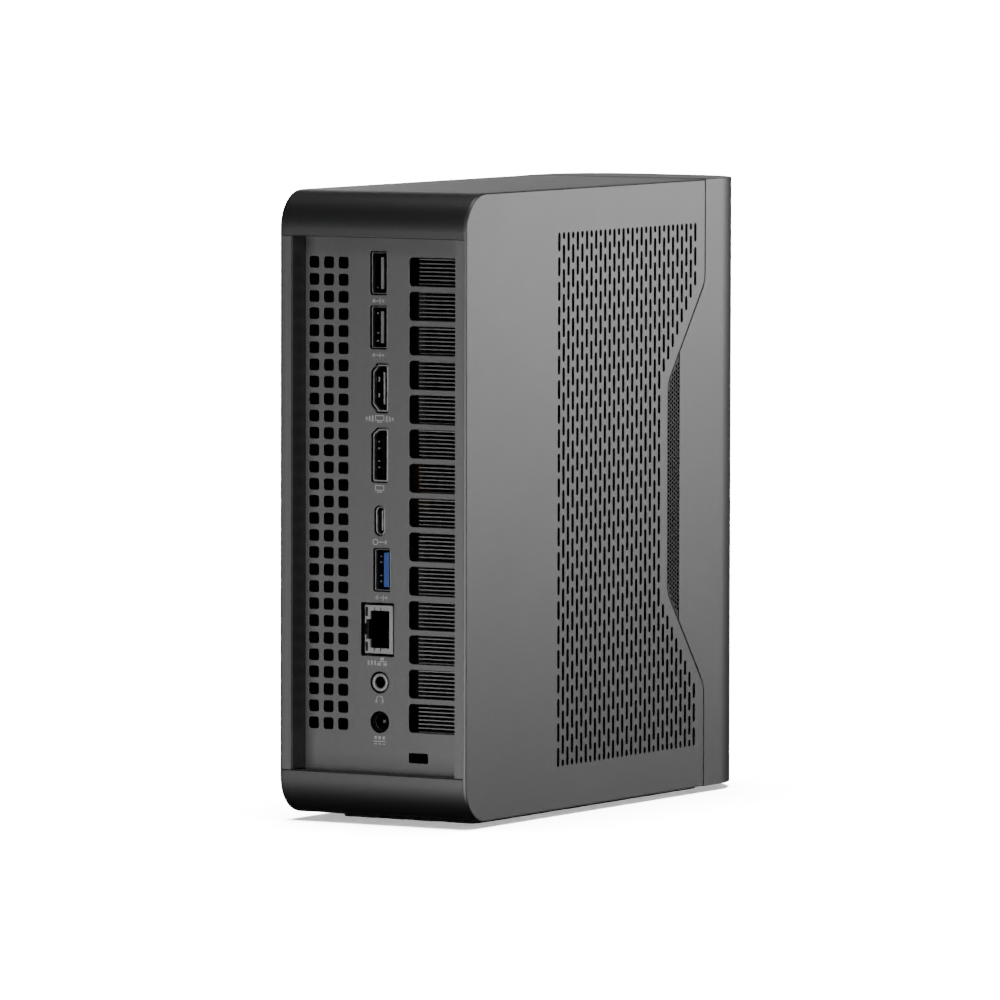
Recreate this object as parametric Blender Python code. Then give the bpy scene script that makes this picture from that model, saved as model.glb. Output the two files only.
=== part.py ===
"""A small tower computer that stands upright on a base pad.

The case is a top and a bottom cover that curl over the rear corners, two perforated side panels and a hollow
front cover whose sides reach back as wings. The ports sit on a plate that is set back into the rear. Inside
are a main board, a cooler with two blowers, the memory, the storage and a small front board.

Frame: the origin is the middle of the footprint on the floor, +Z is up, +Y is the rear with the ports and -Y
is the front. Every size and place in this file is in millimetres, and solid() turns them into metres.
"""

import math

import bmesh
import bpy
from mathutils import Matrix, Vector

MM = 0.001
GAP = 0.3                       # clearance between neighbouring pieces

# Outside of the case
WIDTH = 68.4
DEPTH = 187.0
BODY_HEIGHT = 197.5
FOOT_HEIGHT = 2.0
FOOT_WIDTH = 49.6
FOOT_LENGTH = 141.6
FOOT_CORNER = 2.0
REAR_CORNER = 12.0              # radius of the case's rear corners, seen from the side
FRONT_CORNER = 24.0             # radius of the front cover's corners, seen from above
COVER_WALL = 1.8
PANEL_WALL = 1.1

# Line where a side panel meets the front cover, seen from the side
SEAM_Y = -58.5
SEAM_GAP = 0.4
SEAM_HALF = 65.9                # half height at which the seam turns into its slope
SEAM_FILLET = 8.0
PANEL_NOTCH_Y = -34.2           # front edge of the panel beside the mesh
PANEL_NOTCH_HALF = 33.9
WING_Y = -41.8                  # rear edge of the front cover's wing
MESH_WALL = 0.8
MESH_INSET = 0.2                # how far the mesh lies below the case's side

# Rear: a frame round the recess, and the port plate at its floor
LIP_HEIGHT = 14.35              # how far the covers reach down, or up, the rear
RECESS_DEPTH = 9.0
RECESS_HALF_WIDTH = 30.1
FRAME_WALL = 1.2
PLATE_WALL = 1.0
VENT_HOLE = 3.66
VENT_HOLE_CORNER = 0.8
VENT_PITCH = 5.405
VENT_COLUMNS = 3
VENT_ROWS = 28
VENT_FIRST_X = 16.25
VENT_LOWEST = 28.75
WINDOW_COUNT = 14
WINDOW_LOW_X = -28.6
WINDOW_HIGH_X = -8.0
WINDOW_LOWEST = 31.7            # middle of the lowest window, above the case's bottom
WINDOW_PITCH = 10.825
WINDOW_HEIGHT = 9.05
WINDOW_CORNER = 1.2
LOCK_SLOT = (-11.5, 19.1, 7.0, 3.1)     # centre x, height above the case's bottom, width, height

# Every box-shaped rear socket: centre x, height of its centre above the case's bottom, width, height, its
# corners' radius or its shape's name, its depth, and the gap between it and its cut-out in the port plate
REAR_SHELLS = {
    "data_port_upper": (3.28, 171.7, 5.75, 13.15, 0.5, 14.0, 0.32),
    "data_port_lower": (3.28, 154.6, 5.75, 13.15, 0.5, 14.0, 0.32),
    "video_port_flared": (2.87, 135.45, 5.55, 14.9, "flared", 12.0, 0.4),
    "video_port_bevelled": (2.87, 114.3, 5.5, 16.7, "bevelled", 14.0, 0.35),
    "oval_port": (2.86, 93.6, 3.24, 9.05, 1.5, 10.0, 0.32),
    "data_port_fast": (1.98, 78.1, 5.75, 13.15, 0.5, 14.0, 0.32),
    "network_jack": (3.44, 59.2, 10.2, 15.3, 0.3, 17.0, 0.8),
}
# The tongue in each: centre x, width, height, how far it stops short of the mouth, and its finish
REAR_TONGUES = {
    "data_port_upper": (2.45, 1.4, 10.0, 0.3, "tongue_grey"),
    "data_port_lower": (2.45, 1.4, 10.0, 0.3, "tongue_grey"),
    "video_port_flared": (1.84, 0.75, 10.2, 0.5, "tongue_black"),
    "video_port_bevelled": (2.4, 0.8, 13.0, 1.0, "tongue_black"),
    "oval_port": (2.86, 0.7, 6.4, 1.2, "tongue_black"),
    "data_port_fast": (0.85, 1.9, 10.9, 0.3, "tongue_blue"),
}
SHELL_INSET = 0.6               # how far the sockets' mouths lie below the port plate's face
SHELL_WALL = 0.35
# The chamfered shells' upper corners on the +X side, as distances from that side and from the top
SHELL_CHAMFERS = {
    "flared": ((0.0, 2.2), (1.5, 1.25), (1.9, 0.0)),
    "bevelled": ((0.0, 1.8), (2.0, 0.0)),
}
SHELL_CHAMFER_CORNER = 0.3
OVAL_FROM = 1.0                 # a shell whose corners are rounder than this is drawn with finer arcs
SHELL_BACK = 2.0                # thickness of a socket's closed back
JACK_OPENING = (3.08, 6.9, 11.8)        # centre x, width and height of the network jack's opening
JACK_LATCH = (7.25, 1.85, 6.3)          # of the latch's room beside it
JACK_LATCH_EDGE = (8.5, 1.6, 3.5)       # of the cut that opens that room through the jack's edge
JACK_LATCH_DEPTH = 3.0

# Every round rear socket: centre x, height of its centre above the case's bottom, its radius, its bore's
# radius, its hole's radius in the port plate, how far its mouth lies below the plate's face, and its depth
ROUND_SOCKETS = {
    "audio_jack": (2.75, 42.5, 2.85, 1.9, 3.43, 0.1, 13.0),
    "power_inlet": (2.7, 29.95, 3.1, 2.5, 3.43, 1.0, 10.0),
}
PIN_RADIUS = 0.75
PIN_INSET = 1.7                 # how far the power inlet's pin stops short of its mouth

# Main board and the frame behind it. An X is where a flat piece's face lies, nearest the blowers.
BOARD_LOW_X = 6.5
BOARD_WALL = 1.6
BOARD_FRONT_Y = -48.0
BOARD_LOWEST = 16.0             # the board's lower and upper edge above the case's bottom
BOARD_HIGHEST = 182.0
BOARD_CLEARANCE = 0.5           # from the board to the port plate and the network jack
BOARD_NOTCH_Y = 66.0            # front end of the notch that the network jack sinks into
INNER_FRAME_X = 9.4
INNER_FRAME_WALL = 2.0
INNER_FRAME_LENGTH = (12.0, 136.0)      # centre y and length
INNER_FRAME_WINDOW = (8.0, 92.0, 142.0)     # centre y, length and height of the opening in it
SCREW_PLACES = ((-43.0, 22.0), (-43.0, 176.0), (60.0, 22.0), (60.0, 176.0))
SCREW_SIDES = 12
SCREW_HOLE = 1.6
SCREW_SHANK = 1.2
SCREW_HEAD = 2.5
SCREW_HEAD_WALL = 1.5
POST_RADIUS = 3.4

# Cooler: square pieces on the board's face, pipes from them, and the fins at the rear
COOLER_Y = 22.0
COOLER_MIDDLE = 102.0
PROCESSOR = (36.0, 1.3)         # width and thickness
COLD_PLATE = (46.0, 3.7)
PIPE_RADIUS = 3.0
PIPE_SEPARATION = 9.0           # from the cooler's middle height to each pipe
PIPE_BENDS = ((2.0, 0.0), (42.0, 25.0), (56.0, 25.0), (73.5, 10.0))     # y and radius of each bend
PIPE_RISE = 57.0                # how far a pipe runs up or down through the fins
FIN_PITCH = 1.285
FIN_WALL = 0.35
FIN_COUNT = 117
FIN_LOWEST = 27.0
FIN_LOW_X = -28.8
FIN_HIGH_X = -9.8
FIN_SPINE = 0.8                 # thickness of the web that joins the fins
FIN_FRONT_Y = 65.5
FIN_REAR_Y = 81.5

# Blowers
BLOWER_Y = 26.0                 # of the rotor's axis
BLOWER_HEIGHTS = {"upper": 138.0, "lower": 66.0}
BLOWER_LENGTH = 66.0
BLOWER_HEIGHT = 70.0
BLOWER_CORNER = 8.0
BLOWER_SHIFT = 3.0              # how far the housing's middle lies behind the rotor's axis
BLOWER_LOW_X = -29.2
BLOWER_HIGH_X = -13.2
BLOWER_WALL = 1.2
BLOWER_INLET = 23.0
ROTOR_RADIUS = 27.0
ROTOR_HUB = 12.0
ROTOR_BLADES = 19
ROTOR_SWEEP = 0.32              # angle between a blade's root and its tip
ROTOR_ROOT = 0.07               # the blade's thickness at its root and at its tip, as an angle
ROTOR_TIP = 0.03
ROTOR_ENDS = (3.0, 2.5)         # from the rotor's two ends to the housing's outside

# Cards on the board's far face: their sockets' front y, length, centre height, height and thickness
CARDS = {
    "memory_module_1": (46.3, 30.0, 129.0, 67.6, 3.4),
    "memory_module_2": (8.3, 30.0, 129.0, 67.6, 3.4),
    "storage_module": (46.3, 80.0, 73.0, 22.0, 3.2),
    "wireless_module": (46.3, 30.0, 45.0, 22.0, 2.4),
}
CARD_LIFT = 2.2                 # from the board's clearance to a card
SOCKET_DEPTH = 5.6
SOCKET_MARGIN = 2.0             # how far a socket reaches past its card on each side
BATTERY_PLACE = (-20.0, 45.0)   # y and height
BATTERY_PROFILE = ((9.0, 0.0), (10.0, 0.6), (10.0, 2.8), (9.4, 3.2))    # radius, distance from the board

# Front: button, light and two ports on the middle of the front
FRONT_SET_BACK = 0.2            # how far the front pieces lie below the front face
BUTTON_HEIGHT = 160.0
BUTTON_RADIUS = 6.0
BUTTON_BEVEL = 0.4
BUTTON_FLANGE = 7.2
BUTTON_FLANGE_WALL = 1.0
BUTTON_TRAVEL = 0.8
SWITCH_SIZE = (5.6, 6.0, 4.0)   # width, height and depth
PLUNGER_RADIUS = 1.6
PLUNGER_LENGTH = 1.5            # how far the plunger stands out of its switch
LIGHT_HEIGHT = 147.0
LIGHT_RADIUS = 1.1
LIGHT_REACH = 1.0               # how far the light reaches behind the cover's wall
# Height, width, height and corner of each front socket, then its tongue's centre x, width, height and finish
FRONT_PORTS = {
    "front_data_port": (128.0, 5.7, 13.1, 0.5, 1.1, 1.4, 10.4, "tongue_blue"),
    "front_oval_port": (107.0, 3.2, 9.0, 1.5, 0.0, 0.7, 6.4, "tongue_black"),
}
FRONT_PORT_DEPTH = 13.0
FRONT_PORT_CLEARANCE = 0.4
FRONT_TONGUE_SHORT = 1.2        # how far a tongue stops short of its mouth
FRONT_BOARD_X = 3.4
FRONT_BOARD_WALL = 1.2
FRONT_BOARD = (-76.0, 135.0, 24.0, 76.0)    # centre y, centre height, length, height

HALF_WIDTH = WIDTH / 2
HALF_DEPTH = DEPTH / 2
BOTTOM = FOOT_HEIGHT
TOP = BOTTOM + BODY_HEIGHT
MIDDLE = BOTTOM + BODY_HEIGHT / 2
INNER_HALF_WIDTH = HALF_WIDTH - PANEL_WALL - GAP
PLATE_Y = HALF_DEPTH - RECESS_DEPTH

# Which world coordinates an outline's two numbers and its thickness follow, by the direction of the thickness
AXES = {"X": (1, 2, 0), "Y": (0, 2, 1), "Z": (0, 1, 2)}

# name: colour, roughness, metallic
FINISHES = {
    "case_paint": ((0.21, 0.21, 0.215), 0.45, 0.3),
    "plate_paint": ((0.09, 0.09, 0.092), 0.5, 0.3),
    "mesh_steel": ((0.05, 0.05, 0.052), 0.4, 0.6),
    "base_rubber": ((0.015, 0.015, 0.015), 0.9, 0.0),
    "port_steel": ((0.55, 0.55, 0.56), 0.3, 1.0),
    "tongue_black": ((0.03, 0.03, 0.03), 0.5, 0.0),
    "tongue_grey": ((0.3, 0.3, 0.3), 0.5, 0.0),
    "tongue_blue": ((0.05, 0.16, 0.45), 0.5, 0.0),
    "jack_plastic": ((0.02, 0.02, 0.02), 0.4, 0.0),
    "board_green": ((0.02, 0.08, 0.04), 0.5, 0.0),
    "chip_black": ((0.02, 0.02, 0.02), 0.4, 0.0),
    "copper": ((0.7, 0.32, 0.18), 0.3, 1.0),
    "fin_aluminium": ((0.6, 0.6, 0.62), 0.3, 1.0),
    "blower_black": ((0.02, 0.02, 0.022), 0.5, 0.0),
    "frame_steel": ((0.4, 0.4, 0.42), 0.4, 1.0),
    "screw_steel": ((0.5, 0.5, 0.52), 0.3, 1.0),
    "button_paint": ((0.2, 0.2, 0.205), 0.4, 0.3),
    "light_lens": ((0.8, 0.85, 0.9), 0.2, 0.0),
}

ROUND_STEPS = 8                 # straight pieces in a visible rounded corner
FRONT_STEPS = 12                # in a corner of the front cover
OVAL_STEPS = 4                  # in a corner of an oval socket or a blower
SMALL_STEPS = 1                 # in the corner of a vent hole or a socket
TURNED_SIDES = 24
BEYOND = 10.0                   # how far a cutter reaches past what it cuts


def clear_scene():
    """Removes what the script's last run or the start-up file left."""
    for old in list(bpy.data.objects):
        bpy.data.objects.remove(old, do_unlink=True)


def finish(name):
    """The Principled material of that name, made once."""
    material = bpy.data.materials.get(name)
    if material is None:
        colour, roughness, metallic = FINISHES[name]
        material = bpy.data.materials.new(name)
        material.use_nodes = True
        shader = material.node_tree.nodes["Principled BSDF"]
        shader.inputs["Base Color"].default_value = (*colour, 1.0)
        shader.inputs["Roughness"].default_value = roughness
        shader.inputs["Metallic"].default_value = metallic
    return material


def place(axis, a, b, along):
    """The point at a, b in an outline's plane and at that distance along the axis, in metres."""
    point = [0.0, 0.0, 0.0]
    for index, value in zip(AXES[axis], (a, b, along)):
        point[index] = value * MM
    return point


def add_mesh(name, material, mesh):
    """Links a mesh as an object with outward faces, smooth where it is round."""
    shape = bmesh.new()
    shape.from_mesh(mesh)
    bmesh.ops.recalc_face_normals(shape, faces=shape.faces)
    shape.to_mesh(mesh)
    shape.free()
    mesh.shade_smooth()
    mesh.set_sharp_from_angle(angle=math.radians(35))
    mesh.materials.append(finish(material))
    new = bpy.data.objects.new(name, mesh)
    bpy.context.collection.objects.link(new)
    return new


def solid(name, material, points, faces):
    """An object from points in metres and faces."""
    mesh = bpy.data.meshes.new(name)
    mesh.from_pydata(points, [], faces)
    return add_mesh(name, material, mesh)


def rounded(corners, steps, closed=True):
    """A line through corners of (point, radius), with an arc of that many steps at each radius above 0."""
    line = []
    count = len(corners)
    for index, (corner, radius) in enumerate(corners):
        corner = Vector(corner)
        at_end = not closed and index in (0, count - 1)
        if radius == 0 or at_end:
            line.append(corner)
            continue
        back = (Vector(corners[index - 1][0]) - corner).normalized()
        ahead = (Vector(corners[(index + 1) % count][0]) - corner).normalized()
        half = back.angle(ahead) / 2
        centre = corner + (back + ahead).normalized() * (radius / math.sin(half))
        first = corner + back * (radius / math.tan(half)) - centre
        last = corner + ahead * (radius / math.tan(half)) - centre
        sweep = math.pi - 2 * half
        for step in range(steps + 1):
            t = step / steps
            share = (math.sin((1 - t) * sweep) * first + math.sin(t * sweep) * last) / math.sin(sweep)
            line.append(centre + share)
    return line


def rectangle(a, b, width, height, radius=0.0, steps=SMALL_STEPS):
    """A rectangle's outline round its centre a, b."""
    signs = ((-1, -1), (1, -1), (1, 1), (-1, 1))
    return rounded([((a + s * width / 2, b + t * height / 2), radius) for s, t in signs], steps)


def circle(a, b, radius, sides=TURNED_SIDES):
    """A circle's outline round its centre a, b."""
    turns = (2 * math.pi * index / sides for index in range(sides))
    return [(a + radius * math.cos(turn), b + radius * math.sin(turn)) for turn in turns]


def ring_faces(first, second, count):
    """Quads between two closed rows of points that start at those indices."""
    return [
        [first + i, first + (i + 1) % count, second + (i + 1) % count, second + i]
        for i in range(count)
    ]


def prism(name, material, axis, outline, low, high):
    """An outline pulled along an axis from low to high."""
    count = len(outline)
    points = [place(axis, a, b, level) for level in (low, high) for a, b in outline]
    faces = [list(range(count)), list(range(count, 2 * count))]
    return solid(name, material, points, faces + ring_faces(0, count, count))


def tube(name, material, axis, outer, inner, low, high):
    """A wall between two outlines with the same number of points, open at both ends."""
    count = len(outer)
    rows = [(outer, low), (outer, high), (inner, high), (inner, low)]
    points = [place(axis, a, b, level) for line, level in rows for a, b in line]
    faces = []
    for row in range(4):
        faces += ring_faces(row * count, (row + 1) % 4 * count, count)
    return solid(name, material, points, faces)


def cup(name, material, outer, inner, back, floor, mouth):
    """A box along Y that is closed at its back and hollow from its floor to its mouth."""
    count = len(outer)
    rows = [(outer, back), (outer, mouth), (inner, mouth), (inner, floor)]
    points = [place("Y", a, b, level) for line, level in rows for a, b in line]
    faces = [list(range(count)), list(range(3 * count, 4 * count))]
    for row in range(3):
        faces += ring_faces(row * count, (row + 1) * count, count)
    return solid(name, material, points, faces)


def turned(name, material, axis, a, b, profile):
    """A round solid about an axis through a, b, from a profile of (radius, distance along the axis)."""
    points = []
    for radius, along in profile:
        points += [place(axis, x, y, along) for x, y in circle(a, b, radius)]
    last = (len(profile) - 1) * TURNED_SIDES
    faces = [list(range(TURNED_SIDES)), list(range(last, last + TURNED_SIDES))]
    for row in range(len(profile) - 1):
        faces += ring_faces(row * TURNED_SIDES, (row + 1) * TURNED_SIDES, TURNED_SIDES)
    return solid(name, material, points, faces)


def pierced_plate(name, material, axis, outline, holes, low, high):
    """A flat plate with holes, as a filled and extruded curve turned into a mesh."""
    curve = bpy.data.curves.new(name, "CURVE")
    curve.dimensions = "2D"
    curve.fill_mode = "BOTH"
    curve.extrude = (high - low) / 2 * MM
    for line in [outline, *holes]:
        spline = curve.splines.new("POLY")
        spline.points.add(len(line) - 1)
        spline.use_cyclic_u = True
        for point, (a, b) in zip(spline.points, line):
            point.co = (a * MM, b * MM, 0.0, 1.0)
    flat = bpy.data.objects.new(name, curve)
    bpy.context.collection.objects.link(flat)
    mesh = bpy.data.meshes.new_from_object(flat.evaluated_get(bpy.context.evaluated_depsgraph_get()))
    bpy.data.objects.remove(flat, do_unlink=True)
    middle = (low + high) / 2
    columns = [Vector(place(axis, *step)) / MM for step in ((1, 0, 0), (0, 1, 0), (0, 0, 1))]
    turn = Matrix(columns).transposed().to_4x4()
    turn.translation = place(axis, 0.0, 0.0, middle)
    mesh.transform(turn)
    shape = bmesh.new()
    shape.from_mesh(mesh)
    bmesh.ops.remove_doubles(shape, verts=shape.verts, dist=0.001 * MM)
    shape.to_mesh(mesh)
    shape.free()
    return add_mesh(name, material, mesh)


def pipe(name, material, route, radius):
    """A round bar along a route of points, with closed ends."""
    curve = bpy.data.curves.new(name, "CURVE")
    curve.dimensions = "3D"
    curve.bevel_depth = radius * MM
    curve.bevel_resolution = 2
    curve.use_fill_caps = True
    spline = curve.splines.new("POLY")
    spline.points.add(len(route) - 1)
    for point, place_mm in zip(spline.points, route):
        point.co = (*(place_mm * MM), 1.0)
    curve.materials.append(finish(material))
    new = bpy.data.objects.new(name, curve)
    bpy.context.collection.objects.link(new)
    return new


def combine(target, operation, tools):
    """Cuts the tools from the target, or joins them to it, and hides them."""
    for tool in tools:
        modifier = target.modifiers.new(tool.name, "BOOLEAN")
        modifier.operation = operation
        modifier.solver = "EXACT"
        modifier.object = tool
        tool.hide_render = True
        tool.display_type = "WIRE"


def seam_half(y, offset):
    """Half height of the seam's slope at y, moved that far towards the front cover."""
    run = PANEL_NOTCH_Y - SEAM_Y
    drop = SEAM_HALF - PANEL_NOTCH_HALF
    shift = offset * math.hypot(run, drop) / run
    return SEAM_HALF - (y - SEAM_Y) * drop / run - shift


def curled_outline(level, direction):
    """Side view of a cover that runs along the case and curls over one rear corner."""
    outer = [
        ((SEAM_Y + SEAM_GAP / 2, level), 0),
        ((HALF_DEPTH, level), REAR_CORNER),
        ((HALF_DEPTH, level - direction * LIP_HEIGHT), 0),
    ]
    inner = [
        ((HALF_DEPTH - COVER_WALL, level - direction * LIP_HEIGHT), 0),
        ((HALF_DEPTH - COVER_WALL, level - direction * COVER_WALL), REAR_CORNER - COVER_WALL),
        ((SEAM_Y + SEAM_GAP / 2, level - direction * COVER_WALL), 0),
    ]
    return rounded(outer + inner, ROUND_STEPS)


def make_covers():
    """The top and bottom covers between the side panels."""
    for name, level, direction in (("top_cover", TOP, 1), ("bottom_cover", BOTTOM, -1)):
        outline = curled_outline(level, direction)
        prism(name, "case_paint", "X", outline, -INNER_HALF_WIDTH, INNER_HALF_WIDTH)


def make_side_panels():
    """The two flat side panels, with the notch that the front cover's wing reaches into."""
    front = SEAM_Y + SEAM_GAP / 2
    corners = [
        ((front, BOTTOM), 0),
        ((HALF_DEPTH, BOTTOM), REAR_CORNER),
        ((HALF_DEPTH, TOP), REAR_CORNER),
        ((front, TOP), 0),
        ((front, MIDDLE + seam_half(front, 0)), SEAM_FILLET),
        ((PANEL_NOTCH_Y, MIDDLE + PANEL_NOTCH_HALF), SEAM_FILLET),
        ((PANEL_NOTCH_Y, MIDDLE - PANEL_NOTCH_HALF), SEAM_FILLET),
        ((front, MIDDLE - seam_half(front, 0)), SEAM_FILLET),
    ]
    outline = rounded(corners, ROUND_STEPS)
    prism("left_side_panel", "case_paint", "X", outline, -HALF_WIDTH, PANEL_WALL - HALF_WIDTH)
    prism("right_side_panel", "case_paint", "X", outline, HALF_WIDTH - PANEL_WALL, HALF_WIDTH)


def make_side_meshes():
    """The strips of fine mesh that fill the gap between each panel and the front cover's wing."""
    front = WING_Y + GAP
    rear = PANEL_NOTCH_Y - GAP
    corners = []
    for side in (1, -1):
        turn = ((rear, MIDDLE + side * seam_half(rear, GAP)), SEAM_FILLET)
        tip = ((front, MIDDLE + side * seam_half(front, GAP)), 0)
        corners += [tip, turn] if side == 1 else [turn, tip]
    outline = rounded(corners, ROUND_STEPS)
    outer = HALF_WIDTH - MESH_INSET
    prism("left_side_mesh", "mesh_steel", "X", outline, -outer, MESH_WALL - outer)
    prism("right_side_mesh", "mesh_steel", "X", outline, outer - MESH_WALL, outer)


def make_front_cover():
    """The hollow front cover, open to the rear, with a wing on each side at mid height."""
    def plan(inset, rear):
        half = HALF_WIDTH - inset
        front = inset - HALF_DEPTH
        radius = FRONT_CORNER - inset
        corners = [((half, rear), 0), ((-half, rear), 0), ((-half, front), radius), ((half, front), radius)]
        return rounded(corners, FRONT_STEPS)

    rear = WING_Y + BEYOND
    cover = prism("front_cover", "case_paint", "Z", plan(0.0, WING_Y), BOTTOM, TOP)
    room = plan(COVER_WALL, rear)
    tools = [prism("front_hollow", "case_paint", "Z", room, BOTTOM + COVER_WALL, TOP - COVER_WALL)]
    seam = SEAM_Y - SEAM_GAP / 2
    for name, side in (("seam_cut_upper", 1), ("seam_cut_lower", -1)):
        beyond = MIDDLE + side * BODY_HEIGHT
        corners = [
            ((seam, beyond), 0),
            ((seam, MIDDLE + side * seam_half(seam, SEAM_GAP)), SEAM_FILLET),
            ((rear, MIDDLE + side * seam_half(rear, SEAM_GAP)), 0),
            ((rear, beyond), 0),
        ]
        outline = rounded(corners, ROUND_STEPS)
        tools.append(prism(name, "case_paint", "X", outline, -WIDTH, WIDTH))
    cuts = {
        "button_cut": circle(0, BOTTOM + BUTTON_HEIGHT, BUTTON_RADIUS + GAP),
        "light_cut": circle(0, BOTTOM + LIGHT_HEIGHT, LIGHT_RADIUS + GAP),
    }
    for name, (height, wide, tall, corner, *_) in FRONT_PORTS.items():
        cuts[name + "_cut"] = shell_outline(0, BOTTOM + height, wide, tall, corner, FRONT_PORT_CLEARANCE)
    for name, outline in cuts.items():
        tools.append(prism(name, "case_paint", "Y", outline, -HALF_DEPTH - BEYOND, BEYOND - HALF_DEPTH))
    combine(cover, "DIFFERENCE", tools)


def make_base():
    """The pad that the case stands on."""
    outline = rectangle(0, 0, FOOT_WIDTH, FOOT_LENGTH, FOOT_CORNER, ROUND_STEPS)
    prism("base_foot", "base_rubber", "Z", outline, 0.0, FOOT_HEIGHT - GAP)


def shell_outline(x, z, width, height, corner, grow):
    """Outline of a socket's shell, grown by a margin all round."""
    near = x - width / 2 - grow
    far = x + width / 2 + grow
    top = height / 2 + grow
    if corner in SHELL_CHAMFERS:
        upper = [(far - back, top - down) for back, down in SHELL_CHAMFERS[corner]]
        lower = [(a, -b) for a, b in reversed(upper)] if corner == "flared" else [(far, -top)]
        line = upper + [(near, top), (near, -top)] + lower
        return rounded([((a, z + b), SHELL_CHAMFER_CORNER) for a, b in line], SMALL_STEPS)
    steps = OVAL_STEPS if corner > OVAL_FROM else SMALL_STEPS
    return rectangle(x, z, width + 2 * grow, height + 2 * grow, corner + grow, steps)


def rear_shell_outline(name, grow):
    """Outline of one of the rear sockets at its own place."""
    x, height, width, tall, corner, _, _ = REAR_SHELLS[name]
    return shell_outline(x, BOTTOM + height, width, tall, corner, grow)


def make_rear_frame():
    """The frame round the recess: four walls, with a flange on the two upright ones."""
    low = BOTTOM + LIP_HEIGHT
    high = TOP - LIP_HEIGHT
    tall = high - low
    wide = 2 * RECESS_HALF_WIDTH
    outer = rectangle(0, MIDDLE, wide + 2 * FRAME_WALL, tall + 2 * FRAME_WALL)
    inner = rectangle(0, MIDDLE, wide, tall)
    back = PLATE_Y - PLATE_WALL - GAP
    mouth = HALF_DEPTH - COVER_WALL - GAP
    frame = tube("rear_frame", "plate_paint", "Y", outer, inner, back, mouth)
    flanges = []
    for name, side in (("flange_left", -1), ("flange_right", 1)):
        wall_in = side * RECESS_HALF_WIDTH
        wall_out = side * (RECESS_HALF_WIDTH + FRAME_WALL)
        edge = side * INNER_HALF_WIDTH
        step = HALF_DEPTH - FRAME_WALL
        outline = [
            (wall_in, mouth - FRAME_WALL), (wall_out, mouth - FRAME_WALL), (wall_out, step), (edge, step),
            (edge, HALF_DEPTH), (wall_in, HALF_DEPTH),
        ]
        flanges.append(prism(name, "plate_paint", "Z", outline, low + GAP, high - GAP))
    combine(frame, "UNION", flanges)


def make_port_plate():
    """The plate at the floor of the recess, with vents, windows, a lock slot and the connectors' cut-outs."""
    low = BOTTOM + LIP_HEIGHT + GAP
    high = TOP - LIP_HEIGHT - GAP
    outline = rectangle(0, (low + high) / 2, 2 * (RECESS_HALF_WIDTH - GAP), high - low)
    holes = []
    for row in range(VENT_ROWS):
        z = BOTTOM + VENT_LOWEST + row * VENT_PITCH
        for column in range(VENT_COLUMNS):
            x = VENT_FIRST_X + column * VENT_PITCH
            holes.append(rectangle(x, z, VENT_HOLE, VENT_HOLE, VENT_HOLE_CORNER))
    for window in range(WINDOW_COUNT):
        z = BOTTOM + WINDOW_LOWEST + window * WINDOW_PITCH
        x = (WINDOW_LOW_X + WINDOW_HIGH_X) / 2
        holes.append(rectangle(x, z, WINDOW_HIGH_X - WINDOW_LOW_X, WINDOW_HEIGHT, WINDOW_CORNER, 2))
    x, height, wide, tall = LOCK_SLOT
    holes.append(rectangle(x, BOTTOM + height, wide, tall, 0.6))
    for name, shell in REAR_SHELLS.items():
        holes.append(rear_shell_outline(name, shell[-1]))
    for x, height, _, _, hole, _, _ in ROUND_SOCKETS.values():
        holes.append(circle(x, BOTTOM + height, hole))
    pierced_plate("port_plate", "plate_paint", "Y", outline, holes, PLATE_Y - PLATE_WALL, PLATE_Y)


def make_rear_ports():
    """The box-shaped sockets' metal shells and the tongues inside them."""
    mouth = PLATE_Y - SHELL_INSET
    for name, (tongue_x, wide, tall, short, colour) in REAR_TONGUES.items():
        _, height, _, _, _, deep, _ = REAR_SHELLS[name]
        outer = rear_shell_outline(name, 0.0)
        inner = rear_shell_outline(name, -SHELL_WALL)
        floor = mouth - deep + SHELL_BACK
        cup(name, "port_steel", outer, inner, mouth - deep, floor, mouth)
        outline = rectangle(tongue_x, BOTTOM + height, wide, tall)
        prism(name + "_tongue", colour, "Y", outline, floor + GAP, mouth - short)


def make_network_jack():
    """The network jack: a box with a wide opening, and beside it the room for a plug's latch."""
    _, height, _, _, _, deep, _ = REAR_SHELLS["network_jack"]
    mouth = PLATE_Y - SHELL_INSET
    outline = rear_shell_outline("network_jack", 0.0)
    jack = prism("network_jack", "port_steel", "Y", outline, mouth - deep, mouth)
    cuts = (
        ("jack_opening", JACK_OPENING, deep - SHELL_BACK),
        ("jack_latch", JACK_LATCH, deep - SHELL_BACK),
        ("jack_latch_edge", JACK_LATCH_EDGE, JACK_LATCH_DEPTH),
    )
    tools = []
    for name, (x, wide, tall), depth in cuts:
        outline = rectangle(x, BOTTOM + height, wide, tall)
        tools.append(prism(name, "jack_plastic", "Y", outline, mouth - depth, mouth + BEYOND))
    combine(jack, "DIFFERENCE", tools)


def make_round_ports():
    """The audio jack, and the power inlet with the pin in its middle."""
    for name, (x, height, radius, bore, _, inset, deep) in ROUND_SOCKETS.items():
        z = BOTTOM + height
        mouth = PLATE_Y - inset
        floor = mouth - deep + SHELL_BACK
        cup(name, "jack_plastic", circle(x, z, radius), circle(x, z, bore), mouth - deep, floor, mouth)
    x, height, _, _, _, inset, deep = ROUND_SOCKETS["power_inlet"]
    floor = PLATE_Y - inset - deep + SHELL_BACK
    tip = PLATE_Y - inset - PIN_INSET
    pin = [(PIN_RADIUS, floor + GAP), (PIN_RADIUS, tip - PIN_RADIUS / 2), (PIN_RADIUS / 2, tip)]
    turned("power_inlet_pin", "port_steel", "Y", x, BOTTOM + height, pin)


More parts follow.
